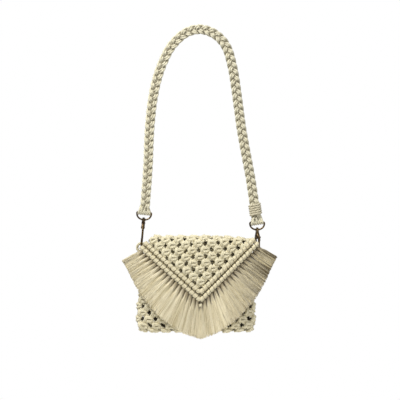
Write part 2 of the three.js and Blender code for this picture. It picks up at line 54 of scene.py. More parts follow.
def put(tree, kind, links=(), **settings):
    # adds a node, sets its options, and links or sets its inputs, by name or in their order
    node = tree.nodes.new(kind)
    for option, value in settings.items():
        setattr(node, option, value)
    for key, value in links.items() if isinstance(links, dict) else enumerate(links):
        if isinstance(value, bpy.types.Node):
            value = value.outputs[0]
        if isinstance(value, bpy.types.NodeSocket):
            tree.links.new(value, node.inputs[key])
        else:
            node.inputs[key].default_value = value
    return node


# what a row of a table calls a node, its real name, and the option that the row sets
nodeKinds = {
    "math": ("ShaderNodeMath", "operation"), "range": ("ShaderNodeMapRange", "interpolation_type"),
    "switch": ("GeometryNodeSwitch", "input_type"), "read": ("GeometryNodeInputNamedAttribute", "data_type"),
}


def putRows(tree, made, rows):
    # a node for each row: its label, its kind and option, then its inputs as numbers or earlier labels;
    # a read row has no inputs, because its label is the name that it reads
    for label, kind, option, *inputs in rows:
        nodeName, setting = nodeKinds[kind]
        links = [label] if kind == "read" else [made.get(value, value) for value in inputs]
        made[label] = put(tree, nodeName, links, **{setting: option})


def newTree(name, sockets):
    # a geometry tree whose first input is the mesh that it works on
    tree = bpy.data.node_groups.new(name, "GeometryNodeTree")
    tree.interface.new_socket("Result", in_out="OUTPUT", socket_type="NodeSocketGeometry")
    for label, kind in {"Guide": "Geometry", **sockets, "Material": "Material"}.items():
        tree.interface.new_socket(label, in_out="INPUT", socket_type="NodeSocket" + kind)
    return tree, tree.nodes.new("NodeGroupInput").outputs


def closeTree(tree, geometry, material):
    # every tree ends with real faces, shaded smooth, in one material
    real = put(tree, "GeometryNodeRealizeInstances", [geometry])
    soft = put(tree, "GeometryNodeSetShadeSmooth", [real])
    done = put(tree, "GeometryNodeSetMaterial", {"Geometry": soft, "Material": material})
    put(tree, "NodeGroupOutput", [done])
    return tree


def plainResult(piece):
    # what a piece's modifiers make of it, as a plain mesh
    depsgraph = bpy.context.evaluated_depsgraph_get()
    evaluated = piece.evaluated_get(depsgraph)
    return bpy.data.meshes.new_from_object(evaluated, preserve_all_data_layers=True, depsgraph=depsgraph)


def runTree(name, tree, guide, values):
    # the tree's result on a guide mesh, as an object with a plain mesh
    piece = bpy.data.objects.new(name, guide)
    scene.collection.objects.link(piece)
    modifier = piece.modifiers.new("grow", "NODES")
    modifier.node_group = tree
    for item in tree.interface.items_tree:
        if item.in_out == "INPUT" and item.name in values:
            modifier[item.identifier] = values[item.name]
    grown = plainResult(piece)
    piece.modifiers.remove(modifier)
    piece.data = grown
    grown.name = name
    grown.materials.clear()
    grown.materials.append(values["Material"])
    grown.polygons.foreach_set("material_index", [0] * len(grown.polygons))
    return piece


def blendRows(rows, at):
    # the values of a table at a place between two of its rows, whose first column rises
    if at <= rows[0][0]:
        return rows[0][1:]
    for low, high in zip(rows, rows[1:]):
        if at <= high[0]:
            share = (at - low[0]) / (high[0] - low[0])
            return tuple(a + (b - a) * share for a, b in zip(low[1:], high[1:]))
    return rows[-1][1:]


def ease(low, high, at):
    share = min(1, max(0, (at - low) / (high - low)))
    return share * share * (3 - 2 * share)


def lineLength(points):
    return sum((b - a).length for a, b in zip(points, points[1:]))


def evenLine(points, count):
    # the same line again, with that many points evenly spaced
    reach = [0]
    for a, b in zip(points, points[1:]):
        reach.append(reach[-1] + (b - a).length)
    spaced, k = [], 0
    for step in range(count):
        at = reach[-1] * step / (count - 1)
        while k < len(points) - 2 and reach[k + 1] < at:
            k += 1
        share = (at - reach[k]) / max(reach[k + 1] - reach[k], 1e-9)
        spaced.append(points[k].lerp(points[k + 1], min(1, share)))
    return spaced


def smoothLine(points, perSpan=12):
    # a centripetal Catmull-Rom line through the points
    points = [Vector(p) for p in points]
    whole = [2 * points[0] - points[1], *points, 2 * points[-1] - points[-2]]
    line = []
    for a, b, c, d in zip(whole, whole[1:], whole[2:], whole[3:]):
        t1 = max((b - a).length, 1e-6) ** 0.5
        t2 = t1 + max((c - b).length, 1e-6) ** 0.5
        t3 = t2 + max((d - c).length, 1e-6) ** 0.5
        for step in range(perSpan):
            t = t1 + (t2 - t1) * step / perSpan
            ab = a * ((t1 - t) / t1) + b * (t / t1)
            bc = b * ((t2 - t) / (t2 - t1)) + c * ((t - t1) / (t2 - t1))
            cd = c * ((t3 - t) / (t3 - t2)) + d * ((t - t2) / (t3 - t2))
            abc = ab * ((t2 - t) / t2) + bc * (t / t2)
            bcd = bc * ((t3 - t) / (t3 - t1)) + cd * ((t - t1) / (t3 - t1))
            line.append(abc * ((t2 - t) / (t2 - t1)) + bcd * ((t - t1) / (t2 - t1)))
    return [*line, points[-1]]


def turns(count):
    # a full turn in that many even steps
    return [2 * math.pi * k / count for k in range(count)]


def newSkin():
    return {"points": [], "faces": [], "turn": [], "length": []}


def addPoint(skin, point, turn=(1, 0, 0), length=0):
    skin["points"].append(point)
    skin["turn"].append(turn)
    skin["length"].append(length)
    return len(skin["points"]) - 1


def bridge(skin, rings, closed=False):
    # faces between each ring of points and the next; a ring may be one point, again and again
    for low, high in zip(rings, [*rings[1:], rings[0]] if closed else rings[1:]):
        for k in range(len(low)):
            n = (k + 1) % len(low)
            skin["faces"].append(tuple(dict.fromkeys((low[k], low[n], high[n], high[k]))))


def sweepCord(skin, line, radius, sides=8, closed=False, capRise=0.45):
    # adds a round cord along a line, with domed ends if it is open;
    # wayTurn and wayLength tell the material where it is on the cord
    count = len(line)
    radii = radius if isinstance(radius, list) else [radius] * count
    step = [(line[(i + 1) % count] - line[i]) for i in range(count)]
    tangents = []
    for i in range(count):
        back = step[i - 1] if closed or i else step[0]
        ahead = step[i] if closed or i < count - 1 else step[-2]
        tangents.append((back.normalized() + ahead.normalized()).normalized())
    axis = min((Vector(row) for row in Matrix.Identity(3)), key=lambda v: abs(v.dot(tangents[0])))
    normal = tangents[0].cross(axis).normalized()
    rings, run = [], 0
    for i in range(count):
        normal = (normal - tangents[i] * normal.dot(tangents[i])).normalized()
        side = tangents[i].cross(normal)
        ring = []
        for turn in turns(sides):
            c, s = math.cos(turn), math.sin(turn)
            ring.append(addPoint(skin, line[i] + (normal * c + side * s) * radii[i], (c, s, 0), run))
        rings.append(ring)
        run += step[i].length
    bridge(skin, rings, closed)
    if not closed:
        for ring, end, ahead, length in (
            (rings[0][::-1], line[0], -tangents[0] * radii[0], 0),
            (rings[-1], line[-1], tangents[-1] * radii[-1], run),
        ):
            pole = addPoint(skin, end + ahead * capRise, length=length)
            for k in range(sides):
                skin["faces"].append((ring[k], ring[(k + 1) % sides], pole))


def mark(mesh, name, values):
    # stores a number or a vector for each point
    if isinstance(values[0], (int, float)):
        mesh.attributes.new(name, "FLOAT", "POINT").data.foreach_set("value", values)
    else:
        numbers = [c for v in values for c in v]
        mesh.attributes.new(name, "FLOAT_VECTOR", "POINT").data.foreach_set("vector", numbers)


def skinMesh(name, skin, scale, tuck=None):
    # tuck says how far a point lies in a crease, from 0 to 1; the cotton materials paint shade there
    mesh = bpy.data.meshes.new(name)
    mesh.from_pydata([p * scale for p in skin["points"]], [], skin["faces"])
    mark(mesh, "wayTurn", skin["turn"])
    mark(mesh, "wayLength", skin["length"])
    mark(mesh, "tuck", tuck or [0] * len(skin["points"]))
    mesh.shade_smooth()
    return mesh


def lineMesh(name, lines):
    # separate lines of edges, for a tree to turn into curves
    points, edges = [], []
    for line in lines:
        edges += [(len(points) + i, len(points) + i + 1) for i in range(len(line) - 1)]
        points += [point * mm for point in line]
    mesh = bpy.data.meshes.new(name)
    mesh.from_pydata(points, edges, [])
    return mesh


def joinMeshes(mesh, *others):
    # adds other meshes to a mesh
    whole = bmesh.new()
    for part in (mesh, *others):
        whole.from_mesh(part)
    whole.to_mesh(mesh)
    whole.free()
    return mesh


def meshPiece(name, mesh, material):
    mesh.materials.clear()
    mesh.materials.append(material)
    piece = bpy.data.objects.new(name, mesh)
    scene.collection.objects.link(piece)
    return piece


def place(piece, body, slot, *nodes):
    # a finished piece rides on its body and stands for its solids
    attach(piece, body)
    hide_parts(*nodes)
    faces = sum(len(p.vertices) - 2 for p in piece.data.polygons)
    print("made", piece.name, "with", faces, "triangles")


# Materials

def newMaterial(name, looks):
    material = bpy.data.materials.new(name)
    material.use_nodes = True
    shader = material.node_tree.nodes["Principled BSDF"]
    for label, value in looks.items():
        shader.inputs[label].default_value = value
    return material, material.node_tree, shader


# dirt is how strongly the creases are painted darker: painted shade
cordLook = {"plies": 6, "lay": 11.0, "fuzz": 1.6 * mm, "patch": 35 * mm, "dirt": 0.75, "relief": 0.9 * mm}


def cottonCord(name, light, shade, crease, strength):
    # Twisted cotton cord: matt, slightly hairy, its plies run round it in long slanted lines.
    # The real lay of the yarn is about 1.5 mm and would not show, so it is drawn coarser.
    material, tree, shader = newMaterial(name, {
        "Roughness": 0.93, "IOR": 1.46, "Specular IOR Level": 0.25,
        "Sheen Weight": 0.25, "Sheen Roughness": 0.6})
    turn = put(tree, "ShaderNodeAttribute", attribute_name="wayTurn").outputs["Vector"]
    split = put(tree, "ShaderNodeSeparateXYZ", [turn])
    where = put(tree, "ShaderNodeTexCoord").outputs["Object"]
    made = {
        "turnX": split.outputs[0], "turnY": split.outputs[1],
        "length": put(tree, "ShaderNodeAttribute", attribute_name="wayLength").outputs["Fac"],
        "tuck": put(tree, "ShaderNodeAttribute", attribute_name="tuck").outputs["Fac"],
        "fibre": put(tree, "ShaderNodeTexNoise", {
            "Vector": where, "Scale": 1 / cordLook["fuzz"], "Detail": 4.0, "Roughness": 0.6}),
        "patch": put(tree, "ShaderNodeTexNoise", {  # dye and handling
            "Vector": where, "Scale": 1 / cordLook["patch"], "Detail": 2.0}),
    }
    putRows(tree, made, (
        ("angle", "math", "ARCTAN2", "turnY", "turnX"),
        ("around", "math", "MULTIPLY", "angle", cordLook["plies"]),
        ("along", "math", "MULTIPLY", "length", 2 * math.pi / cordLook["lay"]),
        ("slanted", "math", "ADD", "around", "along"),
        ("wave", "math", "SINE", "slanted"),
        ("ply", "range", "LINEAR", "wave", -1.0, 1.0),
        # the colour is darker in the grooves between the plies: painted shade
        ("plyTone", "math", "MULTIPLY_ADD", "ply", 0.45, 0.1),
        ("fibreTone", "math", "MULTIPLY_ADD", "fibre", 0.5, "plyTone"),
        ("tone", "math", "MULTIPLY_ADD", "patch", 0.4, "fibreTone"),
        ("fit", "range", "LINEAR", "tone", 0.25, 1.15),
        ("dirt", "math", "MULTIPLY", "tuck", cordLook["dirt"]),
        ("height", "math", "MULTIPLY_ADD", "fibre", 0.5, "ply"),
    ))
    clean = put(tree, "ShaderNodeMix", {0: made["fit"], 6: linear(shade), 7: linear(light)}, data_type="RGBA")
    # painted shade: mixes in the crease colour where tuck says the cord lies in a crease
    creased = put(tree, "ShaderNodeMix", {
        0: made["dirt"], 6: clean.outputs[2], 7: linear(crease)}, data_type="RGBA")
    bump = put(tree, "ShaderNodeBump", {
        "Strength": strength, "Distance": cordLook["relief"], "Height": made["height"]})
    tree.links.new(creased.outputs[2], shader.inputs["Base Color"])
    tree.links.new(bump.outputs[0], shader.inputs["Normal"])
    return material


fringeLook = {
    "strandNoise": 1.0, "clumpNoise": 0.3,  # combPlace is 1 for a strand's width, so a clump is about 2.5 mm
    # the fringe's two ends are painted darker, as painted shade: where the darkening starts and stops, and
    # how dark it gets
    "rightEnd": (45 * mm, 142 * mm, 0.0, 1.3), "leftEnd": (-90 * mm, -145 * mm, 0.0, 0.7),
    "dirt": 0.6, "relief": 0.6 * mm,
}


def brushedCotton(name, light, shade, endShadeColour, crease):
    # Unlaid cotton, combed straight: fine parallel strands, each a little lighter or darker than the next
    material, tree, shader = newMaterial(name, {
        "Roughness": 0.85, "IOR": 1.46, "Specular IOR Level": 0.3,
        "Sheen Weight": 0.3, "Sheen Roughness": 0.5})
    comb = put(tree, "ShaderNodeAttribute", attribute_name="combPlace").outputs["Vector"]
    where = put(tree, "ShaderNodeTexCoord").outputs["Object"]
    made = {
        "strand": put(tree, "ShaderNodeAttribute", attribute_name="strandShade").outputs["Fac"],
        "tuck": put(tree, "ShaderNodeAttribute", attribute_name="tuck").outputs["Fac"],
        "across": put(tree, "ShaderNodeSeparateXYZ", [where]),
        "streak": put(tree, "ShaderNodeTexNoise", {
            "Vector": comb, "Scale": fringeLook["strandNoise"], "Detail": 3.0, "Roughness": 0.65}),
        "clump": put(tree, "ShaderNodeTexNoise", {
            "Vector": comb, "Scale": fringeLook["clumpNoise"], "Detail": 1.0}),
    }
    putRows(tree, made, (
        ("fine", "math", "MULTIPLY_ADD", "streak", 0.5, "strand"),
        ("tone", "math", "MULTIPLY_ADD", "clump", 1.1, "fine"),
        ("fit", "range", "LINEAR", "tone", 0.65, 1.45),
        # painted shade: darker towards both ends of the fringe, in clumps
        ("rightEnd", "range", "LINEAR", "across", *fringeLook["rightEnd"]),
        ("leftEnd", "range", "LINEAR", "across", *fringeLook["leftEnd"]),
        ("ends", "math", "ADD", "rightEnd", "leftEnd"),
        ("streaks", "range", "LINEAR", "clump", 0.33, 0.67),
        ("soil", "math", "MULTIPLY", "ends", "streaks"),
        ("dirt", "math", "MULTIPLY", "tuck", fringeLook["dirt"]),
    ))
    colour = put(tree, "ShaderNodeMix", {
        0: made["fit"], 6: linear(shade), 7: linear(light)}, data_type="RGBA")
    # both mixes paint shade: first the darker ends, then the roots and valleys
    for share, darker in ((made["soil"], endShadeColour), (made["dirt"], crease)):
        colour = put(tree, "ShaderNodeMix", {
            0: share, 6: colour.outputs[2], 7: linear(darker)}, data_type="RGBA")
    bump = put(tree, "ShaderNodeBump", {
        "Strength": 0.5, "Distance": fringeLook["relief"], "Height": made["streak"]})
    tree.links.new(colour.outputs[2], shader.inputs["Base Color"])
    tree.links.new(bump.outputs[0], shader.inputs["Normal"])
    return material


brassLook = {"cloud": 7 * mm, "grit": 0.9 * mm, "relief": 0.3 * mm, "dullest": 0.5, "brightest": 0.24}


def antiqueBrass(name, bright, patina):
    # Die-cast zinc plated in antique brass: worn bright in places, brown where the patina stays
    material, tree, shader = newMaterial(name, {"Metallic": 1.0})
    where = put(tree, "ShaderNodeTexCoord").outputs["Object"]
    cloud = put(tree, "ShaderNodeTexNoise", {
        "Vector": where, "Scale": 1 / brassLook["cloud"], "Detail": 5.0, "Roughness": 0.6})
    grit = put(tree, "ShaderNodeTexNoise", {"Vector": where, "Scale": 1 / brassLook["grit"], "Detail": 2.0})
    worn = put(tree, "ShaderNodeMapRange", [cloud, 0.35, 0.7])
    rough = put(tree, "ShaderNodeMapRange", [cloud, 0.0, 1.0, brassLook["dullest"], brassLook["brightest"]])
    colour = put(tree, "ShaderNodeMix", {0: worn, 6: linear(patina), 7: linear(bright)}, data_type="RGBA")
    bump = put(tree, "ShaderNodeBump", {"Strength": 0.15, "Distance": brassLook["relief"], "Height": grit})
    tree.links.new(colour.outputs[2], shader.inputs["Base Color"])
    tree.links.new(rough.outputs[0], shader.inputs["Roughness"])
    tree.links.new(bump.outputs[0], shader.inputs["Normal"])
    return material


# the third colour of each cord is its painted crease shade
netCotton = cottonCord("ecruCottonKnots", "fdf5d6", "dccfa3", "63563a", 0.8)
ribCotton = cottonCord("ecruCottonHitches", "fdf4d4", "dccea2", "63563a", 0.8)
# the braid's cotton is painted lighter than the knots', as painted light on the strap
braidCotton = cottonCord("ecruCottonBraid", "fdf8de", "e4dab4", "6b5e40", 0.65)
# the whipping's cotton is painted darker than the braid's, as painted shade on the strap's right end
bindingCotton = cottonCord("ecruCottonWhipping", "ece4c8", "c6bb97", "6b5e40", 0.7)
# the fringe's last two colours are painted shade: for its ends, then for its roots and valleys
fringeCotton = brushedCotton("brushedCottonFringe", "fff5d6", "c6b687", "786a4b", "6e5836")
claspBrass = antiqueBrass("antiqueBrassPlating", "8f7a58", "33261a")
print("materials ready")


# Camera, light and floor

studio = {
    "lens": 135, "sensor": 36, "frameWidth": 763.6, "lookAt": (0, -10, -317.5), "farthest": 50,
    "worldBelow": 0.1, "worldAbove": 0.62, "worldFade": (-0.6, 0.8), "aim": (0, 0, -0.35),
    # place in metres, power and size of each lamp
    "lamps": {"keyLight": ((-0.95, -1.05, 1.35), 40.5, 0.5), "fillLight": ((1.1, -1.4, -0.75), 7.5, 1.2),
              "backLight": ((0.7, 1.7, 0.3), 9, 1.2)},
    "floorLevel": -800, "floorRadius": 400, "floorSides": 96,
}
camera = bpy.data.objects.new("camera", bpy.data.cameras.new("camera"))
scene.collection.objects.link(camera)
camera.data.lens = studio["lens"]
away = studio["frameWidth"] * studio["lens"] / studio["sensor"]
camera.location = Vector(studio["lookAt"]) * mm - Vector((0, away * mm, 0))
camera.rotation_euler = (math.pi / 2, 0, 0)
camera.data.clip_end = studio["farthest"]
scene.camera = camera

world = bpy.data.worlds.new("whiteStudio")
scene.world = world
world.use_nodes = True
sky = world.node_tree
sky.nodes.clear()
seen = put(sky, "ShaderNodeLightPath").outputs["Is Camera Ray"]
facing = put(sky, "ShaderNodeSeparateXYZ", [put(sky, "ShaderNodeTexCoord").outputs["Generated"]])
glow = put(sky, "ShaderNodeMapRange", [
    facing.outputs[2], *studio["worldFade"], studio["worldBelow"], studio["worldAbove"]])
soft = put(sky, "ShaderNodeBackground", [(1, 1, 1, 1), glow])
white = put(sky, "ShaderNodeBackground", [(1, 1, 1, 1), 1.0])
either = put(sky, "ShaderNodeMixShader", [seen, soft, white])
put(sky, "ShaderNodeOutputWorld", [either])
scene.view_settings.view_transform = "Standard"

for label, (spot, power, size) in studio["lamps"].items():
    lamp = bpy.data.objects.new(label, bpy.data.lights.new(label, "AREA"))
    lamp.data.energy = power
    lamp.data.size = size
    lamp.location = spot
    lamp.rotation_euler = (Vector(studio["aim"]) - Vector(spot)).to_track_quat("-Z", "Y").to_euler()
    scene.collection.objects.link(lamp)

floorMesh = bpy.data.meshes.new("floor")
disc = bmesh.new()
bmesh.ops.create_circle(disc, cap_ends=True, segments=studio["floorSides"], radius=studio["floorRadius"] * mm)
disc.to_mesh(floorMesh)
disc.free()
floorMesh.transform(Matrix.Translation((0, 0, studio["floorLevel"] * mm)))
floorPaint = newMaterial("paleStudioFloor", {"Base Color": linear("f4f3f0"), "Roughness": 0.9})[0]
floor = meshPiece("floor", floorMesh, floorPaint)
print("camera, light and floor ready")


# Strap: three strands of two cords, braided flat, its ends laid round the clasps' bars

strapSet = {
    "route": [
        (-105, -325), (-102.4, -292.3), (-99.6, -250.3), (-96.7, -183.5), (-90.8, -126.2), (-83, -88),
        (-74.2, -61), (-60.3, -31.2), (-46.2, -12.7), (-26.2, 3.2), (-0.6, 9.7), (23.6, 3), (41.8, -11.4),
        (52.6, -28.6), (61, -57.5), (65.8, -82.3), (73, -133.8), (79.8, -183.5), (88, -229), (96.2, -273),
        (102.2, -312), (106.4, -340)],
    "bars": [(-106.7, -341), (109.4, -360)], "spacing": 1.6, "width": 18, "pastBar": 7, "pathStep": 4,
    # the braid
    "cordRadius": 2.4, "sides": 8, "sway": 6.0, "dwell": 0.1, "rise": 3.0, "repeat": 39.6, "pairHalf": 1.75,
    # the ends: how the six cords spread, turn round the bar, get thinner and lie back
    "endSpread": 4.1, "rankAt": 11, "rankPair": 0.8, "turnRadius": 3.8, "turnSteps": 12, "leaveBar": (1, 15),
    "endThin": 0.86, "thinTo": 12, "tail": 13, "tailLift": 1.6, "tailNarrow": 0.62, "braidFull": 13,
    # the painted crease shade fades between these distances from the strap's middle, through it and across it
    "creaseOut": (1.5 * mm, 5.2 * mm), "creaseSide": (5.2 * mm, 8.5 * mm),
}


def strapCentre():
    bars = [Vector((x, 0, z)) for x, z in strapSet["bars"]]
    route = [Vector((x, 0, z)) for x, z in strapSet["route"]]
    line = smoothLine([bars[0], *route, bars[1]])
    return evenLine(line, int(lineLength(line) / strapSet["spacing"]))


def strapStations(centre):
    # places along one cord: round the left bar, along the strap and round the right bar
    total = lineLength(centre)
    last = len(centre) - 1
    gap = total / last
    turnRadius, endThin, tail = strapSet["turnRadius"], strapSet["endThin"], strapSet["tail"]
    at = lambda k: centre[min(last, max(0, k))]
    stations = []
    for k in range(len(centre)):
        tangent = (at(k + 1) - at(k - 1)).normalized()
        run = k * gap
        above = min(run, total - run)
        front = turnRadius * (1 - ease(*strapSet["leaveBar"], above))
        stations.append({
            "spot": centre[k] + Vector((0, -front, 0)), "side": Vector((-tangent.z, 0, tangent.x)),
            "out": Vector((0, -1, 0)), "along": tangent, "run": run,
            "braid": min(1, above / strapSet["braidFull"]), "draw": 1.0,
            "thin": endThin + (1 - endThin) * ease(0, strapSet["thinTo"], above)})
    for end in (0, 1):
        back = lambda k: at(last - k) if end else at(k)
        up = (back(1) - back(0)).normalized()
        base = {"side": stations[-end]["side"], "along": up, "braid": 0.0, "run": total * end, "draw": 1.0}
        turned = []
        for step in range(1, strapSet["turnSteps"]):
            phi = math.pi * step / strapSet["turnSteps"]
            out = -up * math.sin(phi) - Vector((0, math.cos(phi), 0))
            turned.append({**base, "spot": back(0) + out * turnRadius, "out": out, "thin": endThin})
        for step in range(int(tail / gap)):
            lain = ease(0, tail, step * gap)
            draw = 1 + (strapSet["tailNarrow"] - 1) * lain
            behind = Vector((0, turnRadius + strapSet["tailLift"] * lain, 0))
            turned.append({**base, "spot": back(step) + behind, "out": Vector((0, 1, 0)),
                           "thin": endThin * (0.5 + draw / 2), "draw": draw})
        stations = stations + turned if end else turned[::-1] + stations
    return stations, total


def strapGuide(centre):
    # six copies of the strap's middle line, each with its cord's place in the braid
    stations, total = strapStations(centre)
    starts = turns(3)

    def ranks(run):
        # where each cord lies across the strap, as the braid has them there
        theta, apart = 2 * math.pi * run / strapSet["repeat"], strapSet["rankPair"]
        sway = [(math.sin(theta + starts[k // 2]) + (k % 2 - 0.5) * apart, k) for k in range(6)]
        order = [k for _, k in sorted(sway)]
        return [(order.index(k) - 2.5) * strapSet["endSpread"] for k in range(6)]

    atEnds = ranks(strapSet["rankAt"]), ranks(total - strapSet["rankAt"])
    mesh = lineMesh("strapGuide", [[station["spot"] for station in stations]] * 6)
    for name in ("side", "out", "along", "thin", "braid", "run"):
        mark(mesh, name, [station[name] for station in stations] * 6)
    mark(mesh, "spine", [station["spot"] * mm for station in stations] * 6)
    mark(mesh, "phase", [starts[k // 2] for k in range(6) for _ in stations])
    mark(mesh, "pair", [(k % 2) * 2 - 1 for k in range(6) for _ in stations])
    mark(mesh, "spread", [atEnds[station["run"] >= total / 2][k] * station["draw"]
                          for k in range(6) for station in stations])
    return mesh


def braidTree():
    tree, entry = newTree("flatBraid", {
        "Cord Radius": "Float", "Sway": "Float", "Rise": "Float", "Repeat": "Float", "Pair Half": "Float",
        "Dwell": "Float", "Sides": "Int"})
    made = {label: entry[label] for label in ("Sway", "Rise", "Repeat", "Pair Half", "Dwell")}
    vectors, numbers = ("side", "out", "along", "spine"), ("thin", "braid", "run", "phase", "pair", "spread")
    putRows(tree, made, [(label, "read", "FLOAT_VECTOR") for label in vectors])
    putRows(tree, made, [(label, "read", "FLOAT") for label in numbers])
    putRows(tree, made, (
        ("perMm", "math", "DIVIDE", 2 * math.pi, "Repeat"),
        ("theta", "math", "MULTIPLY_ADD", "run", "perMm", "phase"),
        # to and fro across the strap, a little longer at the edges
        ("thrice", "math", "MULTIPLY", "theta", 3.0),
        ("swing1", "math", "SINE", "theta"),
        ("swing3", "math", "SINE", "thrice"),
        ("swing", "math", "MULTIPLY_ADD", "swing3", "Dwell", "swing1"),
        # how steeply the cord runs there, so that its pair lies square to it
        ("lean1", "math", "COSINE", "theta"),
        ("lean3", "math", "COSINE", "thrice"),
        ("dwell3", "math", "MULTIPLY", "Dwell", 3.0),
        ("lean", "math", "MULTIPLY_ADD", "lean3", "dwell3", "lean1"),
        ("steep", "math", "MULTIPLY", "lean", "perMm"),
        ("slope", "math", "MULTIPLY", "steep", "Sway"),
        ("slant", "math", "ARCTANGENT", "slope"),
        ("half", "math", "MULTIPLY", "pair", "Pair Half"),
        ("halfAcross", "math", "COSINE", "slant"),
        ("across", "math", "MULTIPLY", "half", "halfAcross"),
        ("lateral", "math", "MULTIPLY_ADD", "swing", "Sway", "across"),
        ("halfAlong", "math", "SINE", "slant"),
        ("back", "math", "MULTIPLY", "half", "halfAlong"),
        ("behind", "math", "MULTIPLY", "back", -1.0),
        # over one strand and under the next
        ("twice", "math", "MULTIPLY", "theta", 2.0),
        ("over", "math", "SINE", "twice"),
        ("depth", "math", "MULTIPLY", "over", "Rise"),
        ("alongMix", "math", "MULTIPLY", "braid", "behind"),
        ("depthMix", "math", "MULTIPLY", "braid", "depth"),
    ))
    made["lateralMix"] = put(tree, "ShaderNodeMix", {
        0: made["braid"], 2: made["spread"], 3: made["lateral"]})
    shift = None
    for direction, amount in (("side", "lateralMix"), ("out", "depthMix"), ("along", "alongMix")):
        metres = put(tree, "ShaderNodeMath", [made[amount], mm], operation="MULTIPLY")
        part = put(tree, "ShaderNodeVectorMath", {0: made[direction], "Scale": metres}, operation="SCALE")
        shift = put(tree, "ShaderNodeVectorMath", [shift, part], operation="ADD") if shift else part
    curves = put(tree, "GeometryNodeMeshToCurve", [entry["Guide"]])
    laid = put(tree, "GeometryNodeSetPosition", {"Geometry": curves, "Offset": shift})
    way = put(tree, "GeometryNodeSplineParameter").outputs["Length"]
    wayMm = put(tree, "ShaderNodeMath", [way, 1 / mm], operation="MULTIPLY")
    marked = put(tree, "GeometryNodeStoreNamedAttribute", {
        "Geometry": laid, "Name": "wayLength", "Value": wayMm})
    ring = put(tree, "GeometryNodeCurvePrimitiveCircle", {
        "Resolution": entry["Sides"], "Radius": entry["Cord Radius"]})
    here = put(tree, "GeometryNodeInputPosition")
    facing = put(tree, "ShaderNodeVectorMath", [here], operation="NORMALIZE")
    ringMarked = put(tree, "GeometryNodeStoreNamedAttribute", {
        "Geometry": ring, "Name": "wayTurn", "Value": facing}, data_type="FLOAT_VECTOR")
    cords = put(tree, "GeometryNodeCurveToMesh", {
        "Curve": marked, "Profile Curve": ringMarked, "Scale": made["thin"], "Fill Caps": True})
    # painted shade in the creases: points near the strap's middle plane, but not those on its two edges
    fromSpine = put(tree, "ShaderNodeVectorMath", [here, made["spine"]], operation="SUBTRACT")
    tuck = made["braid"]
    for direction, fade in (("out", "creaseOut"), ("side", "creaseSide")):
        reach = put(tree, "ShaderNodeVectorMath", [fromSpine, made[direction]], operation="DOT_PRODUCT")
        size = put(tree, "ShaderNodeMath", [reach.outputs["Value"]], operation="ABSOLUTE")
        share = put(tree, "ShaderNodeMapRange", [size, *strapSet[fade], 1.0, 0.0])
        tuck = put(tree, "ShaderNodeMath", [tuck, share], operation="MULTIPLY")
    creased = put(tree, "GeometryNodeStoreNamedAttribute", {
        "Geometry": cords, "Name": "tuck", "Value": tuck})
    return closeTree(tree, creased, entry["Material"])


centre = strapCentre()
strap = runTree("strapBraid", braidTree(), strapGuide(centre), {
    "Cord Radius": strapSet["cordRadius"] * mm, "Sway": strapSet["sway"], "Rise": strapSet["rise"],
    "Repeat": strapSet["repeat"], "Pair Half": strapSet["pairHalf"], "Dwell": strapSet["dwell"],
    "Sides": strapSet["sides"], "Material": braidCotton})
place(strap, "bag", "cotton_braid", "strap")

bindingSet = {
    "start": 14, "turns": 5, "steps": 28, "pitch": 4.3, "cordRadius": 2.15, "halfWide": 10.4, "halfDeep": 7.2,
    "squareness": 0.88,
}
helix = []
gap = lineLength(centre) / (len(centre) - 1)
for step in range(bindingSet["turns"] * bindingSet["steps"] + 1):
    above = bindingSet["start"] + bindingSet["pitch"] * step / bindingSet["steps"]
    k = len(centre) - 1 - int(above / gap)
    tangent = (centre[k - 1] - centre[k]).normalized()
    side = Vector((tangent.z, 0, -tangent.x))
    turn = math.pi / 2 + 2 * math.pi * step / bindingSet["steps"]  # both ends at the back
    c, s = math.cos(turn), math.sin(turn)
    wide = bindingSet["halfWide"] * math.copysign(abs(c) ** bindingSet["squareness"], c)
    deep = bindingSet["halfDeep"] * math.copysign(abs(s) ** bindingSet["squareness"], s)
    spot = centre[k].lerp(centre[k - 1], above / gap - int(above / gap))
    helix.append(spot + side * wide + Vector((0, deep, 0)))
wrap = newSkin()
sweepCord(wrap, helix, bindingSet["cordRadius"])
binding = meshPiece("strapBinding", skinMesh("strapBinding", wrap, mm), bindingCotton)
place(binding, "bag", "cotton_braid", "strap_binding")

pastLeft = centre[0] + (centre[0] - centre[1]).normalized() * strapSet["pastBar"]
pastRight = centre[-1] + (centre[-1] - centre[-2]).normalized() * strapSet["pastBar"]
cordPath = [pastLeft, *centre[::strapSet["pathStep"]], centre[-1], pastRight]
strapLength = lineLength(cordPath)
print("strap runs", round(strapLength), "mm")


# Surfaces that the net lies on: a guide is a fine grid with each point's place in the flat net.
# A place on a guide is found with its flat millimetres divided by flatUnit, which keeps them near 0 to 1.
flatUnit = 400.0
freeRoom = 99
sinkSet = {"from": 2.0, "to": 10.0, "depth": -9.0}  # how far what passes the net's edge goes under the rib


def guideMesh(name, columns, rows, spot):
    # spot gives a grid point's place, its place in the flat net, and how the net ends there
    mesh = bpy.data.meshes.new(name)
    made = [spot(i, j) for j in range(rows) for i in range(columns)]
    faces = []
    for j in range(rows - 1):
        for i in range(columns - 1):
            k = j * columns + i
            faces.append((k, k + 1, k + columns + 1, k + columns))
    mesh.from_pydata([row["point"] * mm for row in made], [], faces)
    mark(mesh, "outward", [normal.vector.copy() for normal in mesh.vertex_normals])
    mark(mesh, "flat", [(row["flat"][0] / flatUnit, row["flat"][1] / flatUnit, 0) for row in made])
    mark(mesh, "pull", [(*row.get("pull", (0, 0)), 0) for row in made])
    mark(mesh, "room", [row.get("room", freeRoom) for row in made])
    mark(mesh, "keep", [row.get("keep", 1) for row in made])
    return mesh


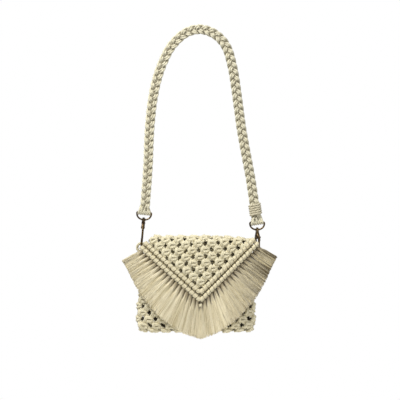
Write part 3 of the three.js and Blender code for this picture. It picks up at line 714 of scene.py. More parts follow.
def layOn(tree, guide, geometry):
    # bends flat geometry onto the guide; what passes the net's edge is drawn back to it
    here = put(tree, "GeometryNodeInputPosition")
    made = {"here": here, "height": put(tree, "ShaderNodeSeparateXYZ", [here]).outputs[2]}
    putRows(tree, made, [(label, "read", "FLOAT_VECTOR") for label in ("flat", "pull", "outward")])
    putRows(tree, made, [("room", "read", "FLOAT")])
    at = put(tree, "ShaderNodeVectorMath", {0: here, "Scale": 1 / flatUnit}, operation="SCALE")
    for label, kind in (("room", "FLOAT"), ("pull", "FLOAT_VECTOR")):
        made[label] = put(tree, "GeometryNodeSampleUVSurface", {
            "Mesh": guide, "Value": made[label], "UV Map": made["flat"], "Sample UV": at}, data_type=kind)
    putRows(tree, made, (
        ("past", "math", "MULTIPLY", "room", -1.0),
        ("short", "math", "MAXIMUM", "past", 0.0),
        ("wellPast", "range", "LINEAR", "short", sinkSet["from"], sinkSet["to"], 0.0, sinkSet["depth"]),
        ("sunk", "math", "ADD", "height", "wellPast"),
        ("metres", "math", "MULTIPLY", "sunk", mm),
    ))
    drawn = put(tree, "ShaderNodeVectorMath", {0: made["pull"], "Scale": made["short"]}, operation="SCALE")
    inside = put(tree, "ShaderNodeVectorMath", [here, drawn], operation="ADD")
    at = put(tree, "ShaderNodeVectorMath", {0: inside, "Scale": 1 / flatUnit}, operation="SCALE")
    surface, outward = [put(tree, "GeometryNodeSampleUVSurface", {
        "Mesh": guide, "Value": made[label], "UV Map": made["flat"], "Sample UV": at},
        data_type="FLOAT_VECTOR") for label in ("here", "outward")]
    lift = put(tree, "ShaderNodeVectorMath", {0: outward, "Scale": made["metres"]}, operation="SCALE")
    placed = put(tree, "ShaderNodeVectorMath", [surface, lift], operation="ADD")
    return put(tree, "GeometryNodeSetPosition", {"Geometry": geometry, "Position": placed})


netSet = {
    "loose": (0.6, 0.5, 0.3),  # how far a knot may lie from its place
    "plumpLeast": (0.97, 0.94, 0.9), "plumpMost": (1.05, 1.08, 1.12), "plumpSeed": 40.0,
    "uneven": 0.17,  # how far a knot may turn from its row, in radians
}


def netTree():
    # rows of knots, every second row half a knot across, on a guide
    tree, entry = newTree("knotNet", {
        "Knot": "Object", "Columns": "Int", "Rows": "Int", "Width": "Float", "Height": "Float",
        "Pitch": "Float", "Row Step": "Float", "Centre": "Vector", "Lean": "Float", "Uneven": "Float",
        "Seed": "Int"})
    grid = put(tree, "GeometryNodeMeshGrid", {
        "Size X": entry["Width"], "Size Y": entry["Height"],
        "Vertices X": entry["Columns"], "Vertices Y": entry["Rows"]})
    here = put(tree, "GeometryNodeInputPosition")
    made = {label: entry[label] for label in ("Height", "Row Step", "Pitch", "Lean", "Uneven", "Seed")}
    made["level"] = put(tree, "ShaderNodeSeparateXYZ", [here]).outputs[1]
    made["lean"] = put(tree, "FunctionNodeRandomValue", {
        2: -1.0, 3: 1.0, "Seed": entry["Seed"]}).outputs[1]
    putRows(tree, made, (
        ("foot", "math", "MULTIPLY_ADD", "Height", 0.5, "level"),
        ("row", "math", "DIVIDE", "foot", "Row Step"),
        ("whole", "math", "ROUND", "row"),
        ("odd", "math", "FLOORED_MODULO", "whole", 2.0),
        ("half", "math", "MULTIPLY", "odd", "Pitch"),
        ("across", "math", "MULTIPLY", "half", 0.5),
        ("leaning", "math", "MULTIPLY_ADD", "lean", "Uneven", "Lean"),
        ("plumpSeed", "math", "ADD", "Seed", netSet["plumpSeed"]),
        ("flat", "read", "FLOAT_VECTOR"),
        ("keep", "read", "FLOAT"),
    ))
    offset = put(tree, "ShaderNodeCombineXYZ", [made["across"]])
    loose = put(tree, "FunctionNodeRandomValue", {
        0: tuple(-c for c in netSet["loose"]), 1: netSet["loose"], "Seed": entry["Seed"]},
        data_type="FLOAT_VECTOR")
    shift = put(tree, "ShaderNodeVectorMath", [offset, loose], operation="ADD")
    rowed = put(tree, "ShaderNodeVectorMath", [here, shift], operation="ADD")
    leant = put(tree, "ShaderNodeVectorRotate", {
        "Vector": rowed, "Angle": entry["Lean"]}, rotation_type="Z_AXIS")
    spot = put(tree, "ShaderNodeVectorMath", [leant, entry["Centre"]], operation="ADD")
    spots = put(tree, "GeometryNodeSetPosition", {"Geometry": grid, "Position": spot})
    # only where the guide keeps a knot
    flatHere = put(tree, "ShaderNodeVectorMath", {0: here, "Scale": 1 / flatUnit}, operation="SCALE")
    kept = put(tree, "GeometryNodeSampleUVSurface", {
        "Mesh": entry["Guide"], "Value": made["keep"], "UV Map": made["flat"], "Sample UV": flatHere})
    wanted = put(tree, "FunctionNodeCompare", [kept, 0.5], operation="GREATER_THAN")
    turned = put(tree, "FunctionNodeAxisAngleToRotation", {"Axis": (0, 0, 1), "Angle": made["leaning"]})
    plump = put(tree, "FunctionNodeRandomValue", {
        0: netSet["plumpLeast"], 1: netSet["plumpMost"], "Seed": made["plumpSeed"]},
        data_type="FLOAT_VECTOR")
    knot = put(tree, "GeometryNodeObjectInfo", {"Object": entry["Knot"]}).outputs["Geometry"]
    knots = put(tree, "GeometryNodeInstanceOnPoints", {
        "Points": spots, "Selection": wanted, "Instance": knot, "Rotation": turned, "Scale": plump})
    real = put(tree, "GeometryNodeRealizeInstances", [knots])
    return closeTree(tree, layOn(tree, entry["Guide"], real), entry["Material"])


# One square knot of four cords, flat: x to the right, y up, z outward

knotSet = {
    "squeeze": 0.74, "legRadius": 2.5, "legSides": 7, "barSides": 8,
    "tuckFrom": 3, "tuckDepth": 5,  # creases start at this height and are darkest that much lower
    "rings": {"bump": 10, "upperBar": 9, "lowerBar": 9, "outerLeg": 8, "innerLeg": 12},
    # the bump at the left, where the cord turns over, and the two bars that go into it: x, y, z and radius
    "bump": [(-3.4, -5.6, -1.4, 2.2), (-5.4, -4.5, 2.4, 2.7), (-5.7, -2.2, 4.9, 3), (-5.1, 0.4, 5.8, 3.1),
             (-4.4, 2.9, 5.2, 3), (-4.2, 4.9, 2.4, 2.6), (-2.4, 5.6, -1.4, 2.2)],
    "upperBar": [(-6.4, 3.2, 0.4, 2.3), (-3.2, 3.1, 4.3, 2.8), (0.4, 3.2, 5.2, 2.95), (4, 2.8, 4.6, 2.8),
                 (6.9, 1.1, 2.8, 2.5), (8, -1.4, 0, 2.1)],
    "lowerBar": [(-6.4, -3.4, 0, 2.3), (-3.2, -3.4, 2.9, 2.6), (0.4, -3.4, 4.2, 2.7), (4, -2.9, 4, 2.6),
                 (6.8, -1.4, 2.5, 2.4), (7.9, 1.2, -0.2, 2.1)],
    # cords from the row above to the row below, left of the middle; the right ones are their mirror
    "outerLeg": [(-11.2, 8.8, -0.8), (-7.6, 5.9, 0.9), (-4.6, 2.4, -1), (-4.6, -2.4, -1), (-7.6, -6.1, 0.8),
                 (-11.2, -8.8, -0.8)],
    "innerLeg": [(-11, 9.4, -1), (-6.2, 8.4, 1.2), (-2.6, 6.9, 2), (-2.5, 0, 0), (-2.6, -6.9, 1.6),
                 (-6.2, -8.4, 0.8), (-11, -9.4, -1)],
}


def knotObject():
    skin = newSkin()
    for bar in ("bump", "upperBar", "lowerBar"):
        line = smoothLine([(x, y, z) for x, y, z, _ in knotSet[bar]])
        thick = smoothLine([(radius, 0, 0) for _, _, _, radius in knotSet[bar]])
        # the radius follows the same steps along the cord as the line does
        spaced = evenLine(line, knotSet["rings"][bar])
        near = [min(range(len(line)), key=lambda k: (line[k] - point).length) for point in spaced]
        sweepCord(skin, spaced, [thick[k].x for k in near], knotSet["barSides"])
    for leg in ("outerLeg", "innerLeg"):
        for way in (1, -1):
            line = smoothLine([(way * x, y, z) for x, y, z in knotSet[leg]])
            sweepCord(skin, evenLine(line, knotSet["rings"][leg]), knotSet["legRadius"], knotSet["legSides"])
    # painted shade: the lower a point lies under the knot's crest, the darker its tuck
    depths = [knotSet["tuckFrom"] - point.z for point in skin["points"]]
    tuck = [min(1, max(0, depth / knotSet["tuckDepth"])) for depth in depths]
    for point in skin["points"]:
        point.z *= knotSet["squeeze"]
    return bpy.data.objects.new("squareKnot", skinMesh("squareKnot", skin, 1, tuck))


squareKnot = knotObject()
knotNet = netTree()
print("knot and net ready")


# Pouch: one long net, down the front, under the bottom and up the back

pouchSet = {
    # half depth, height and half widths of the net's middle surface, from the mouth to the bottom's middle
    "profile": [(12.5, -404, 96, 92.5), (15.5, -425, 100, 95), (18.5, -450, 105.5, 98),
                (20.5, -490, 113, 100.3), (19, -530, 118, 102), (15.5, -551, 119.5, 102.5),
                (9, -563, 115, 100), (0, -567.5, 105, 94)],
    "squareness": 2.6, "flatWidth": 225, "columns": 9, "rows": 14, "margin": 16, "seed": 3,
    "frontReach": 2, "backReach": -7,  # the knots on the sides belong to the front
    "backDown": 4.5, "backAcross": 6,  # the back's knots lie a little off the front's
    "guideColumns": 90, "guideRows": 84, "arcSteps": 120, "fineSteps": 400, "thinnest": 0.01,
}


def pouchSection(depth, z, left, right, side, shares):
    # points of one level of the pouch, evenly spaced across from the left edge to the right one
    wide, middle = (left + right) / 2, (right - left) / 2
    arc = []
    for step in range(pouchSet["arcSteps"] + 1):
        angle = math.pi * (1 - step / pouchSet["arcSteps"])
        c = math.cos(angle)
        across = wide * math.copysign(abs(c) ** (2 / pouchSet["squareness"]), c)
        arc.append(Vector((middle + across, depth * math.sin(angle), z)))
    fine = evenLine(arc, pouchSet["fineSteps"] + 1)
    row = []
    for share in shares:
        inside = -share if share < 0 else 2 - share if share > 1 else share
        spot = fine[round(inside * pouchSet["fineSteps"])].copy()
        spot.y *= side if 0 <= share <= 1 else -side
        row.append(spot)
    return row


def pouchGuide():
    line = smoothLine([Vector((d, z, 0)) for d, z, _, _ in pouchSet["profile"]])
    widths = [(-z, left, right) for _, z, left, right in pouchSet["profile"]]
    front = lineLength(line)
    margin, flatWidth = pouchSet["margin"], pouchSet["flatWidth"]
    columns, levels = pouchSet["guideColumns"], pouchSet["guideRows"]
    shares = [-margin / flatWidth + (1 + 2 * margin / flatWidth) * i / (columns - 1) for i in range(columns)]
    fine = evenLine(line, pouchSet["fineSteps"] + 1)
    grid = []
    for j in range(levels):
        way = -margin + (2 * front + 2 * margin) * (1 - j / (levels - 1))
        side = -1 if way <= front else 1
        down = way if way <= front else 2 * front - way
        spot = fine[round(min(1, max(0, down / front)) * pouchSet["fineSteps"])].copy()
        spot.y += max(0, -down)
        left, right = blendRows(widths, -spot.y)
        row = pouchSection(max(pouchSet["thinnest"], spot.x), spot.y, left, right, side, shares)
        edge = flatWidth / 2 + (pouchSet["frontReach"] if side < 0 else pouchSet["backReach"])
        across = [(share - 0.5) * flatWidth for share in shares]
        grid.append([{"point": point, "flat": (x, -way), "keep": abs(x) < edge}
                     for point, x in zip(row, across)])
    return guideMesh("pouchGuide", columns, levels, lambda i, j: grid[j][i]), front


pouchMesh, pouchFront = pouchGuide()
rowStep = pouchFront / pouchSet["rows"]
pitch = pouchSet["flatWidth"] / pouchSet["columns"]
for name, firstWay, shift in (
    ("pouchNetFront", 0, 0),
    ("pouchNetBack", pouchFront + pouchSet["backDown"], pitch / 2 + pouchSet["backAcross"]),
):
    piece = runTree(name, knotNet, pouchMesh.copy(), {
        "Knot": squareKnot, "Columns": pouchSet["columns"] + 1, "Rows": pouchSet["rows"],
        "Width": pouchSet["flatWidth"], "Height": rowStep * (pouchSet["rows"] - 1), "Pitch": pitch,
        "Row Step": rowStep, "Centre": (shift, -firstWay - pouchFront / 2, 0), "Lean": 0.0,
        "Uneven": netSet["uneven"], "Seed": pouchSet["seed"], "Material": netCotton})
    place(piece, "bag", "cotton_net", "pouch")


# Flap: the net goes on from the back, over the mouth and down the front to a point

flapSet = {
    "ribLeft": (-110, -409), "ribTip": (1, -508), "ribRight": (108.5, -402), "ribPitch": 11,
    # the wall over the pouch: height, half widths and depth
    "sections": [(-490, 117.5, 104.8, 25), (-450, 110, 102.5, 23), (-425, 104.5, 99.5, 20),
                 (-404, 100.5, 97, 17)],
    "edgeFall": 0.22, "layGap": 0.8, "squareness": 2.6, "wall": 9,
    # the fold over the mouth
    "mouth": -404, "foldBase": -403.7, "rise": 14.2, "riseLeft": 14, "riseRight": 7, "edgeTop": 0.9,
    "halfFront": 104, "halfBack": 97, "foldSteps": 60, "foldFine": 200,
    # the knots' lattice, and the limits of the net: left, right, top and past the point's edge
    "rows": 15, "columns": 10, "pitch": 25, "rowStep": 12, "firstRow": -412.5, "firstColumn": -114.4,
    "lowestRow": -96.7, "lean": 0.06, "seed": 8, "keep": (-105, 101, 63, -2),
    "leftFrom": 94, "leftDraw": 0.45,  # the left end is drawn in, clear of the clasp when it turns
    "backSkew": 11, "skewOver": (16, 52),  # so that no hole on the back lies behind one on the front
    "guideColumns": 61, "guideRows": 66, "guideX": (-120, 240), "guideV": (-108, 190),
}


def coverDepth(x, z):
    left, right, depth = blendRows(flapSet["sections"], z)
    across = abs(x - (right - left) / 2) / ((left + right) / 2)
    return depth * (1 - flapSet["edgeFall"] * across ** 3) + flapSet["layGap"]


def foldAt(x):
    left, right, depth = blendRows(flapSet["sections"], flapSet["mouth"])
    across = min(1, abs(x - (right - left) / 2) / ((left + right) / 2))
    half = flapSet["wall"] / 2
    back = max(half / 2, depth * math.sqrt(1 - across ** flapSet["squareness"]) - half)
    front = -coverDepth(x, flapSet["foldBase"]) - half
    share = min(1, abs(x) / flapSet["halfFront"])
    end = flapSet["riseLeft"] if x < 0 else flapSet["riseRight"]
    rise = flapSet["rise"] + (end - flapSet["rise"]) * share ** 2
    return (back + front) / 2, (back - front) / 2, rise


def foldArc(x):
    # the way over the mouth, from the front to the back
    middle, half, rise = foldAt(x)
    narrow = flapSet["halfBack"] / flapSet["halfFront"] - 1
    arc = []
    for step in range(flapSet["foldSteps"] + 1):
        t = math.pi * (1 - step / flapSet["foldSteps"])
        arc.append(Vector((x * (1 + narrow * (1 - t / math.pi)), middle + half * math.cos(t),
                           flapSet["foldBase"] + rise * math.sin(t))))
    return arc


def flapFrontY(x, z):
    if z <= flapSet["foldBase"]:
        return -coverDepth(x, z) - flapSet["wall"] / 2
    middle, half, rise = foldAt(x)
    return middle - half * math.sqrt(1 - min(flapSet["edgeTop"], (z - flapSet["foldBase"]) / rise) ** 2)


def pointLine(offset):
    # the point's outline, moved towards the net by an offset
    tip = Vector(flapSet["ribTip"])
    sides = []
    for end in (Vector(flapSet["ribLeft"]), Vector(flapSet["ribRight"])):
        run = (tip - end).normalized()
        inward = Vector((math.copysign(abs(run.y), run.x), abs(run.x)))
        sides.append((end + inward * offset, run.y / run.x, inward))
    (left, leftSlope, leftIn), (right, rightSlope, rightIn) = sides
    tipX = (right.y - left.y + leftSlope * left.x - rightSlope * right.x) / (leftSlope - rightSlope)
    low = Vector((tipX, left.y + leftSlope * (tipX - left.x)))
    return left, low, right, leftIn, rightIn


def flapGuide():
    left, tip, right, leftIn, rightIn = pointLine(flapSet["ribPitch"])
    columns, levels = flapSet["guideColumns"], flapSet["guideRows"]
    (firstX, spanX), (firstV, spanV) = flapSet["guideX"], flapSet["guideV"]
    keepLeft, keepRight, keepTop, keepPast = flapSet["keep"]

    def spot(i, j):
        x = firstX + spanX * i / (columns - 1)
        v = firstV + spanV * j / (levels - 1)
        z = flapSet["firstRow"] + v
        inward, start = (leftIn, left) if x < tip.x else (rightIn, right)
        room = (Vector((x, z)) - start).dot(inward)
        keep = 1 if room > keepPast and keepLeft < x < keepRight and v < keepTop else 0
        drawIn = (x + flapSet["leftFrom"]) * flapSet["leftDraw"]
        if x < 0 and drawIn < room:
            inward, room = Vector((1, 0)), drawIn
        point = Vector((x, flapFrontY(x, z), z))
        run = z - flapSet["foldBase"]
        if run > 0:
            arc = foldArc(x)
            whole = lineLength(arc)
            fine = flapSet["foldFine"]
            if run <= whole:
                point = evenLine(arc, fine + 1)[round(fine * run / whole)]
            else:
                point = arc[-1] - Vector((0, 0, run - whole))
        skew = flapSet["backSkew"] * ease(*flapSet["skewOver"], v)
        return {"point": point, "flat": (x + skew, v), "pull": tuple(inward), "room": room, "keep": keep}

    return guideMesh("flapGuide", columns, levels, spot)


flapWide = flapSet["pitch"] * (flapSet["columns"] - 1)
flapTall = flapSet["rowStep"] * (flapSet["rows"] - 1)
flapNet = runTree("flapNet", knotNet, flapGuide(), {
    "Knot": squareKnot, "Columns": flapSet["columns"], "Rows": flapSet["rows"], "Width": flapWide,
    "Height": flapTall, "Pitch": flapSet["pitch"], "Row Step": flapSet["rowStep"],
    "Centre": (flapSet["firstColumn"] + flapWide / 2, flapSet["lowestRow"] + flapTall / 2, 0),
    "Lean": flapSet["lean"], "Uneven": netSet["uneven"], "Seed": flapSet["seed"], "Material": netCotton})
place(flapNet, "bag", "cotton_net", "flap")


# Ribs: two rows of double half hitches along the point, each hitch two turns round a holding cord

ribSet = {
    "diameter": 9.2, "proud": 1.6, "hitch": 8.6, "uneven": 0.04, "tipClear": 4.5, "armSteps": 40, "core": 2.8,
    # tuckFrom and tuckDepth: painted shade on the turns, from that far inside the hitch's round to darkest
    # that much further in
    "cordRadius": 2.85, "turnGap": 1.55, "turnSteps": 14, "slant": 0.9, "tuckFrom": 1.1, "tuckDepth": 2.2,
    "tipDrop": 9.5, "tipSize": 0.72,
    # the hitch's own cords, as they come from the net and fill the groove; legTuck is the painted shade on
    # them
    "legRadius": 2.1, "legSides": 6, "legApart": 0.4, "legDepth": 3.6, "legTuck": 0.6,
    "legOuter": 8.5, "legInner": 4,
}


def hitchObject(legReach):
    skin = newSkin()
    radius = ribSet["diameter"] / 2
    ring = radius - ribSet["cordRadius"]
    for middle in (-ribSet["turnGap"], ribSet["turnGap"]):
        line = []
        for turn in turns(ribSet["turnSteps"]):
            c, s = math.cos(turn), math.sin(turn)
            line.append(Vector((middle + ribSet["slant"] * c, ring * c, ring * s)))
        sweepCord(skin, line, ribSet["cordRadius"], closed=True)
    # painted shade on the turns' inner sides, darker the further in
    inside = [radius - ribSet["tuckFrom"] - math.hypot(p.y, p.z) for p in skin["points"]]
    tuck = [min(1, max(0, depth / ribSet["tuckDepth"])) for depth in inside]
    if legReach:
        apart = ribSet["turnGap"] + ribSet["legApart"]
        for x in (-apart, apart):
            comes = [Vector((x, y, -ribSet["legDepth"])) for y in (0, legReach / 2, legReach)]
            sweepCord(skin, comes, ribSet["legRadius"], ribSet["legSides"])
        tuck += [ribSet["legTuck"]] * (len(skin["points"]) - len(tuck))
    return bpy.data.objects.new("hitch", skinMesh("hitch", skin, mm, tuck))


def ribTree():
    tree, entry = newTree("hitchRow", {"Hitch": "Object", "Pitch": "Float", "Uneven": "Float", "Seed": "Int"})
    curve = put(tree, "GeometryNodeMeshToCurve", [entry["Guide"]])
    spots = put(tree, "GeometryNodeResampleCurve", {"Curve": curve, "Length": entry["Pitch"]}, mode="LENGTH")
    tangent = put(tree, "GeometryNodeInputTangent")
    turned = put(tree, "FunctionNodeAxesToRotation", [tangent, (0.0, -1.0, 0.0)],
                 primary_axis="X", secondary_axis="Z")
    least = put(tree, "ShaderNodeMath", [1.0, entry["Uneven"]], operation="SUBTRACT")
    most = put(tree, "ShaderNodeMath", [1.0, entry["Uneven"]], operation="ADD")
    size = put(tree, "FunctionNodeRandomValue", {2: least, 3: most, "Seed": entry["Seed"]})
    hitch = put(tree, "GeometryNodeObjectInfo", {"Object": entry["Hitch"]}).outputs["Geometry"]
    row = put(tree, "GeometryNodeInstanceOnPoints", {
        "Points": spots, "Instance": hitch, "Rotation": turned, "Scale": size.outputs[1]})
    return closeTree(tree, row, entry["Material"])


def ribArms(offset):
    # the two arms of a rib from its ends towards the tip, and the tip, on the flap's front
    left, tip, right, _, _ = pointLine(offset)
    onFlap = lambda flat: Vector((flat.x, flapFrontY(flat.x, flat.y) - ribSet["proud"], flat.y))
    arms = []
    for end in (left, right):
        reach = 1 - ribSet["tipClear"] / (tip - end).length
        steps = [step / ribSet["armSteps"] for step in range(ribSet["armSteps"] + 1)]
        arms.append([onFlap(end.lerp(tip, share * reach)) for share in steps])
    return arms[0], onFlap(tip), arms[1][::-1]


hitchRow = ribTree()
for name, offset, node, leg, seed in (
    ("ribOuter", 0, "rib_outer", "legOuter", 5),
    ("ribInner", flapSet["ribPitch"], "rib_inner", "legInner", 6),
):
    leftArm, tip, rightArm = ribArms(offset)
    rib = runTree(name, hitchRow, lineMesh("ribGuide", [leftArm, rightArm]), {
        "Hitch": hitchObject(ribSet[leg]), "Pitch": ribSet["hitch"] * mm, "Uneven": ribSet["uneven"],
        "Seed": seed, "Material": ribCotton})
    core = newSkin()
    sweepCord(core, [*leftArm, tip, *rightArm], ribSet["core"])
    # the holding cord is painted fully in crease shade
    extra = [skinMesh(name + "Core", core, mm, [1] * len(core["points"]))]
    if node == "rib_outer":
        knot = hitchObject(0).data  # the last cord's knot under the tip
        drop = Matrix.Translation((tip - Vector((0, 0, ribSet["tipDrop"]))) * mm)
        knot.transform(drop @ Matrix.Rotation(math.pi / 2, 4, "Y") @ Matrix.Scale(ribSet["tipSize"], 4))
        extra.append(knot)
    joinMeshes(rib.data, *extra).shade_smooth()
    place(rib, "bag", "cotton_rib", node)


# Fringe: locks of combed cotton under the outer rib, a soft body each with loose strands over it

fringeSet = {
    "root": -5.0, "flatFall": 70, "seed": 21,
    "strands": 4700, "strandRadius": 0.38, "strandSteps": 6, "sides": 3,
    "locks": 35, "lockSides": 10, "lockLength": (0.965, 1.01), "lockShade": 0.35,
    # share of the way to the tip, fall below the horizontal in degrees, length
    "fall": [(0, 33, 40), (0.15, 33, 47), (0.33, 37, 58), (0.5, 45, 66), (0.67, 60, 71), (0.85, 77, 72),
             (1, 90, 66)],
    # share of the way down, half width, half thickness and middle height of a lock
    "lock": [(-0.07, 1.4, 0.9, 1.8), (0.03, 2.0, 2.0, 3.4), (0.14, 2.3, 1.9, 3.3), (0.3, 3.2, 1.5, 2.7),
             (0.5, 4.6, 1.1, 2.1), (0.75, 5.3, 0.9, 1.8), (0.93, 5.3, 0.8, 1.7), (0.975, 5.1, 0.7, 1.6)],
    # the guide goes past the fringe on all sides: at its ends, below it and in its height
    "guideColumns": 120, "guideRows": 22, "guidePast": 12, "guideFoot": 1.2, "guideTall": 1.4,
    "comb": (1.3, 0.03, 0.6),  # from flat millimetres to combPlace: strands across, long streaks down
    # what each strand draws at random, and between which values; the order sets the seeds
    "chances": {"lockNumber": (0.0, 1.0), "inLock": (-1.0, 1.0), "lift": (0.0, 1.0), "trim": (0.0, 1.0),
                "drift": (-1.0, 1.0), "strandShade": (0.0, 0.75), "side": (0.0, 1.0)},
    "backShare": 0.3, "backHalf": 4.4, "drift": 1.8, "lift": 0.7,
}


def fringeGuide():
    left, tip, right, _, _ = pointLine(fringeSet["root"])
    leftLong, rightLong = (tip - left).length, (tip - right).length
    total = leftLong + rightLong
    columns, levels, past = fringeSet["guideColumns"], fringeSet["guideRows"], fringeSet["guidePast"]

    def spot(i, j):
        run = -past + (total + 2 * past) * i / (columns - 1)
        down = fringeSet["guideFoot"] - fringeSet["guideTall"] * j / (levels - 1)
        onLeft = run < leftLong
        share = run / leftLong if onLeft else (total - run) / rightLong
        root = (left if onLeft else right).lerp(tip, share)
        fall, length = blendRows(fringeSet["fall"], share)
        sign = -1 if onLeft else 1
        x = root.x + sign * math.cos(math.radians(fall)) * length * down
        z = root.y - math.sin(math.radians(fall)) * length * down
        return {"point": Vector((x, -coverDepth(x, z), z)), "flat": (run, -down * fringeSet["flatFall"])}

    return guideMesh("fringeGuide", columns, levels, spot), total


def lockObject():
    # one lock, flat: round at its root, wide and thin at its cut end
    skin = newSkin()
    sides = fringeSet["lockSides"]
    rings = []
    for down, half, thick, lift in fringeSet["lock"]:
        y = -down * fringeSet["flatFall"]
        rings.append([addPoint(skin, Vector((half * math.cos(turn), y, lift + thick * math.sin(turn))))
                      for turn in turns(sides)])
    for low, high in zip(rings, rings[1:]):
        for k in range(sides):
            n = (k + 1) % sides
            skin["faces"].append((low[k], high[k], high[n], low[n]))
    skin["faces"] += [tuple(rings[0]), tuple(rings[-1][::-1])]
    return bpy.data.objects.new("lock", skinMesh("lock", skin, 1))


def fringeTree():
    tree, entry = newTree("combedFringe", {
        "Lock": "Object", "Locks": "Int", "Spacing": "Float", "Strands": "Int", "Strand Radius": "Float",
        "Fall": "Float", "Steps": "Int", "Sides": "Int", "Seed": "Int"})
    made = {label: entry[label] for label in ("Locks", "Spacing", "Fall")}
    here = put(tree, "GeometryNodeInputPosition")
    comb = put(tree, "ShaderNodeVectorMath", [here, fringeSet["comb"]], operation="MULTIPLY")
    # the locks' soft bodies
    made["number"] = put(tree, "GeometryNodeInputIndex")
    putRows(tree, made, (
        ("halfWay", "math", "ADD", "number", 0.5),
        ("lockRun", "math", "MULTIPLY", "halfWay", "Spacing"),
    ))
    lockSpot = put(tree, "ShaderNodeCombineXYZ", [made["lockRun"]])
    spots = put(tree, "GeometryNodePoints", {"Count": entry["Locks"], "Position": lockSpot})
    lock = put(tree, "GeometryNodeObjectInfo", {"Object": entry["Lock"]}).outputs["Geometry"]
    shortest, longest = fringeSet["lockLength"]
    tall = put(tree, "FunctionNodeRandomValue", {2: shortest, 3: longest, "Seed": entry["Seed"]})
    stretch = put(tree, "ShaderNodeCombineXYZ", [1.0, tall.outputs[1], 1.0])
    bodies = put(tree, "GeometryNodeInstanceOnPoints", {"Points": spots, "Instance": lock, "Scale": stretch})
    bodies = put(tree, "GeometryNodeRealizeInstances", [bodies])
    bodies = put(tree, "GeometryNodeStoreNamedAttribute", {
        "Geometry": bodies, "Name": "strandShade", "Value": fringeSet["lockShade"]})
    bodies = put(tree, "GeometryNodeStoreNamedAttribute", {
        "Geometry": bodies, "Name": "combPlace", "Value": comb}, data_type="FLOAT_VECTOR")
    bodies = layOn(tree, entry["Guide"], bodies)
    # the loose strands: a straight line each, placed in its lock, then laid on the guide
    strands = put(tree, "GeometryNodePoints", {"Count": entry["Strands"]})
    for extra, (label, (low, high)) in enumerate(fringeSet["chances"].items(), 1):
        seed = put(tree, "ShaderNodeMath", [entry["Seed"], float(extra)], operation="ADD")
        chance = put(tree, "FunctionNodeRandomValue", {2: low, 3: high, "Seed": seed})
        strands = put(tree, "GeometryNodeStoreNamedAttribute", {
            "Geometry": strands, "Name": label, "Value": chance.outputs[1]})
        putRows(tree, made, [(label, "read", "FLOAT")])
    straight = put(tree, "GeometryNodeCurvePrimitiveLine", {"Start": (0, 0, 0), "End": (0, -1, 0)})
    stepped = put(tree, "GeometryNodeResampleCurve", {
        "Curve": straight, "Count": entry["Steps"]}, mode="COUNT")
    each = put(tree, "GeometryNodeInstanceOnPoints", {"Points": strands, "Instance": stepped})
    lines = put(tree, "GeometryNodeRealizeInstances", [each])
    made["down"] = put(tree, "GeometryNodeSplineParameter").outputs["Factor"]
    made["isFront"] = put(tree, "FunctionNodeCompare", [made["side"], fringeSet["backShare"]],
                          operation="GREATER_THAN")
    putRows(tree, made, (
        # across: its lock's place, its own in the lock, which opens below the rib, and its drift
        ("count", "math", "MULTIPLY", "lockNumber", "Locks"),
        ("which", "math", "FLOOR", "count"),
        ("middle", "math", "ADD", "which", 0.5),
        ("lockX", "math", "MULTIPLY", "middle", "Spacing"),
        ("frontHalf", "range", "SMOOTHSTEP", "down", 0.08, 0.42, 2.75, 5.4),
        ("half", "switch", "FLOAT", "isFront", fringeSet["backHalf"], "frontHalf"),
        ("off", "math", "MULTIPLY", "inLock", "half"),
        ("downSquare", "math", "MULTIPLY", "down", "down"),
        ("stray", "math", "MULTIPLY", "drift", "downSquare"),
        ("strayOff", "math", "MULTIPLY_ADD", "stray", fringeSet["drift"], "off"),
        ("flatX", "math", "ADD", "lockX", "strayOff"),
        # down: cut a little unevenly
        ("cut", "range", "LINEAR", "trim", 0.0, 1.0, -1.02, -0.93),
        ("fallen", "math", "MULTIPLY", "down", "cut"),
        ("flatY", "math", "MULTIPLY", "fallen", "Fall"),
        # outward: over the lock's round front, lower towards its sides, or behind it
        ("toSide", "math", "MULTIPLY", "inLock", "inLock"),
        ("frontTop", "range", "LINEAR", "down", 0.0, 0.6, 6.4, 3.2),
        ("frontLow", "range", "LINEAR", "down", 0.0, 0.5, 3.8, 2.85),
        ("backTop", "range", "LINEAR", "down", 0.0, 1.0, 1.6, 0.6),
        # painted shade: dark under the rib, where the locks' round heads start, and in the valleys between
        # them
        ("headEnd", "math", "MULTIPLY_ADD", "toSide", 0.03, 0.05),
        ("head", "range", "LINEAR", "down", 0.03, "headEnd", 1.0, 0.0),
        ("atRoot", "range", "SMOOTHSTEP", "down", 0.0, 0.42, 1.0, 0.0),
        ("atEdge", "math", "POWER", "toSide", 3.0),
        ("valley", "math", "MULTIPLY", "atEdge", "atRoot"),
        ("frontDark", "math", "MAXIMUM", "head", "valley"),
        ("dark", "switch", "FLOAT", "isFront", "atRoot", "frontDark"),
    ))
    made["front"] = put(tree, "ShaderNodeMix", {
        0: made["toSide"], 2: made["frontTop"], 3: made["frontLow"]})
    putRows(tree, made, (
        ("layer", "switch", "FLOAT", "isFront", "backTop", "front"),
        ("raised", "math", "MULTIPLY_ADD", "lift", fringeSet["lift"], "layer"),
    ))
    flatAt = put(tree, "ShaderNodeCombineXYZ", [made["flatX"], made["flatY"], made["raised"]])
    lines = put(tree, "GeometryNodeSetPosition", {"Geometry": lines, "Position": flatAt})
    lines = put(tree, "GeometryNodeStoreNamedAttribute", {
        "Geometry": lines, "Name": "combPlace", "Value": comb}, data_type="FLOAT_VECTOR")
    lines = put(tree, "GeometryNodeStoreNamedAttribute", {
        "Geometry": lines, "Name": "tuck", "Value": made["dark"]})
    lines = layOn(tree, entry["Guide"], lines)
    ring = put(tree, "GeometryNodeCurvePrimitiveCircle", {
        "Resolution": entry["Sides"], "Radius": entry["Strand Radius"]})
    tubes = put(tree, "GeometryNodeCurveToMesh", {"Curve": lines, "Profile Curve": ring, "Fill Caps": True})
    both = put(tree, "GeometryNodeJoinGeometry", [bodies])
    tree.links.new(tubes.outputs[0], both.inputs[0])
    return closeTree(tree, both, entry["Material"])


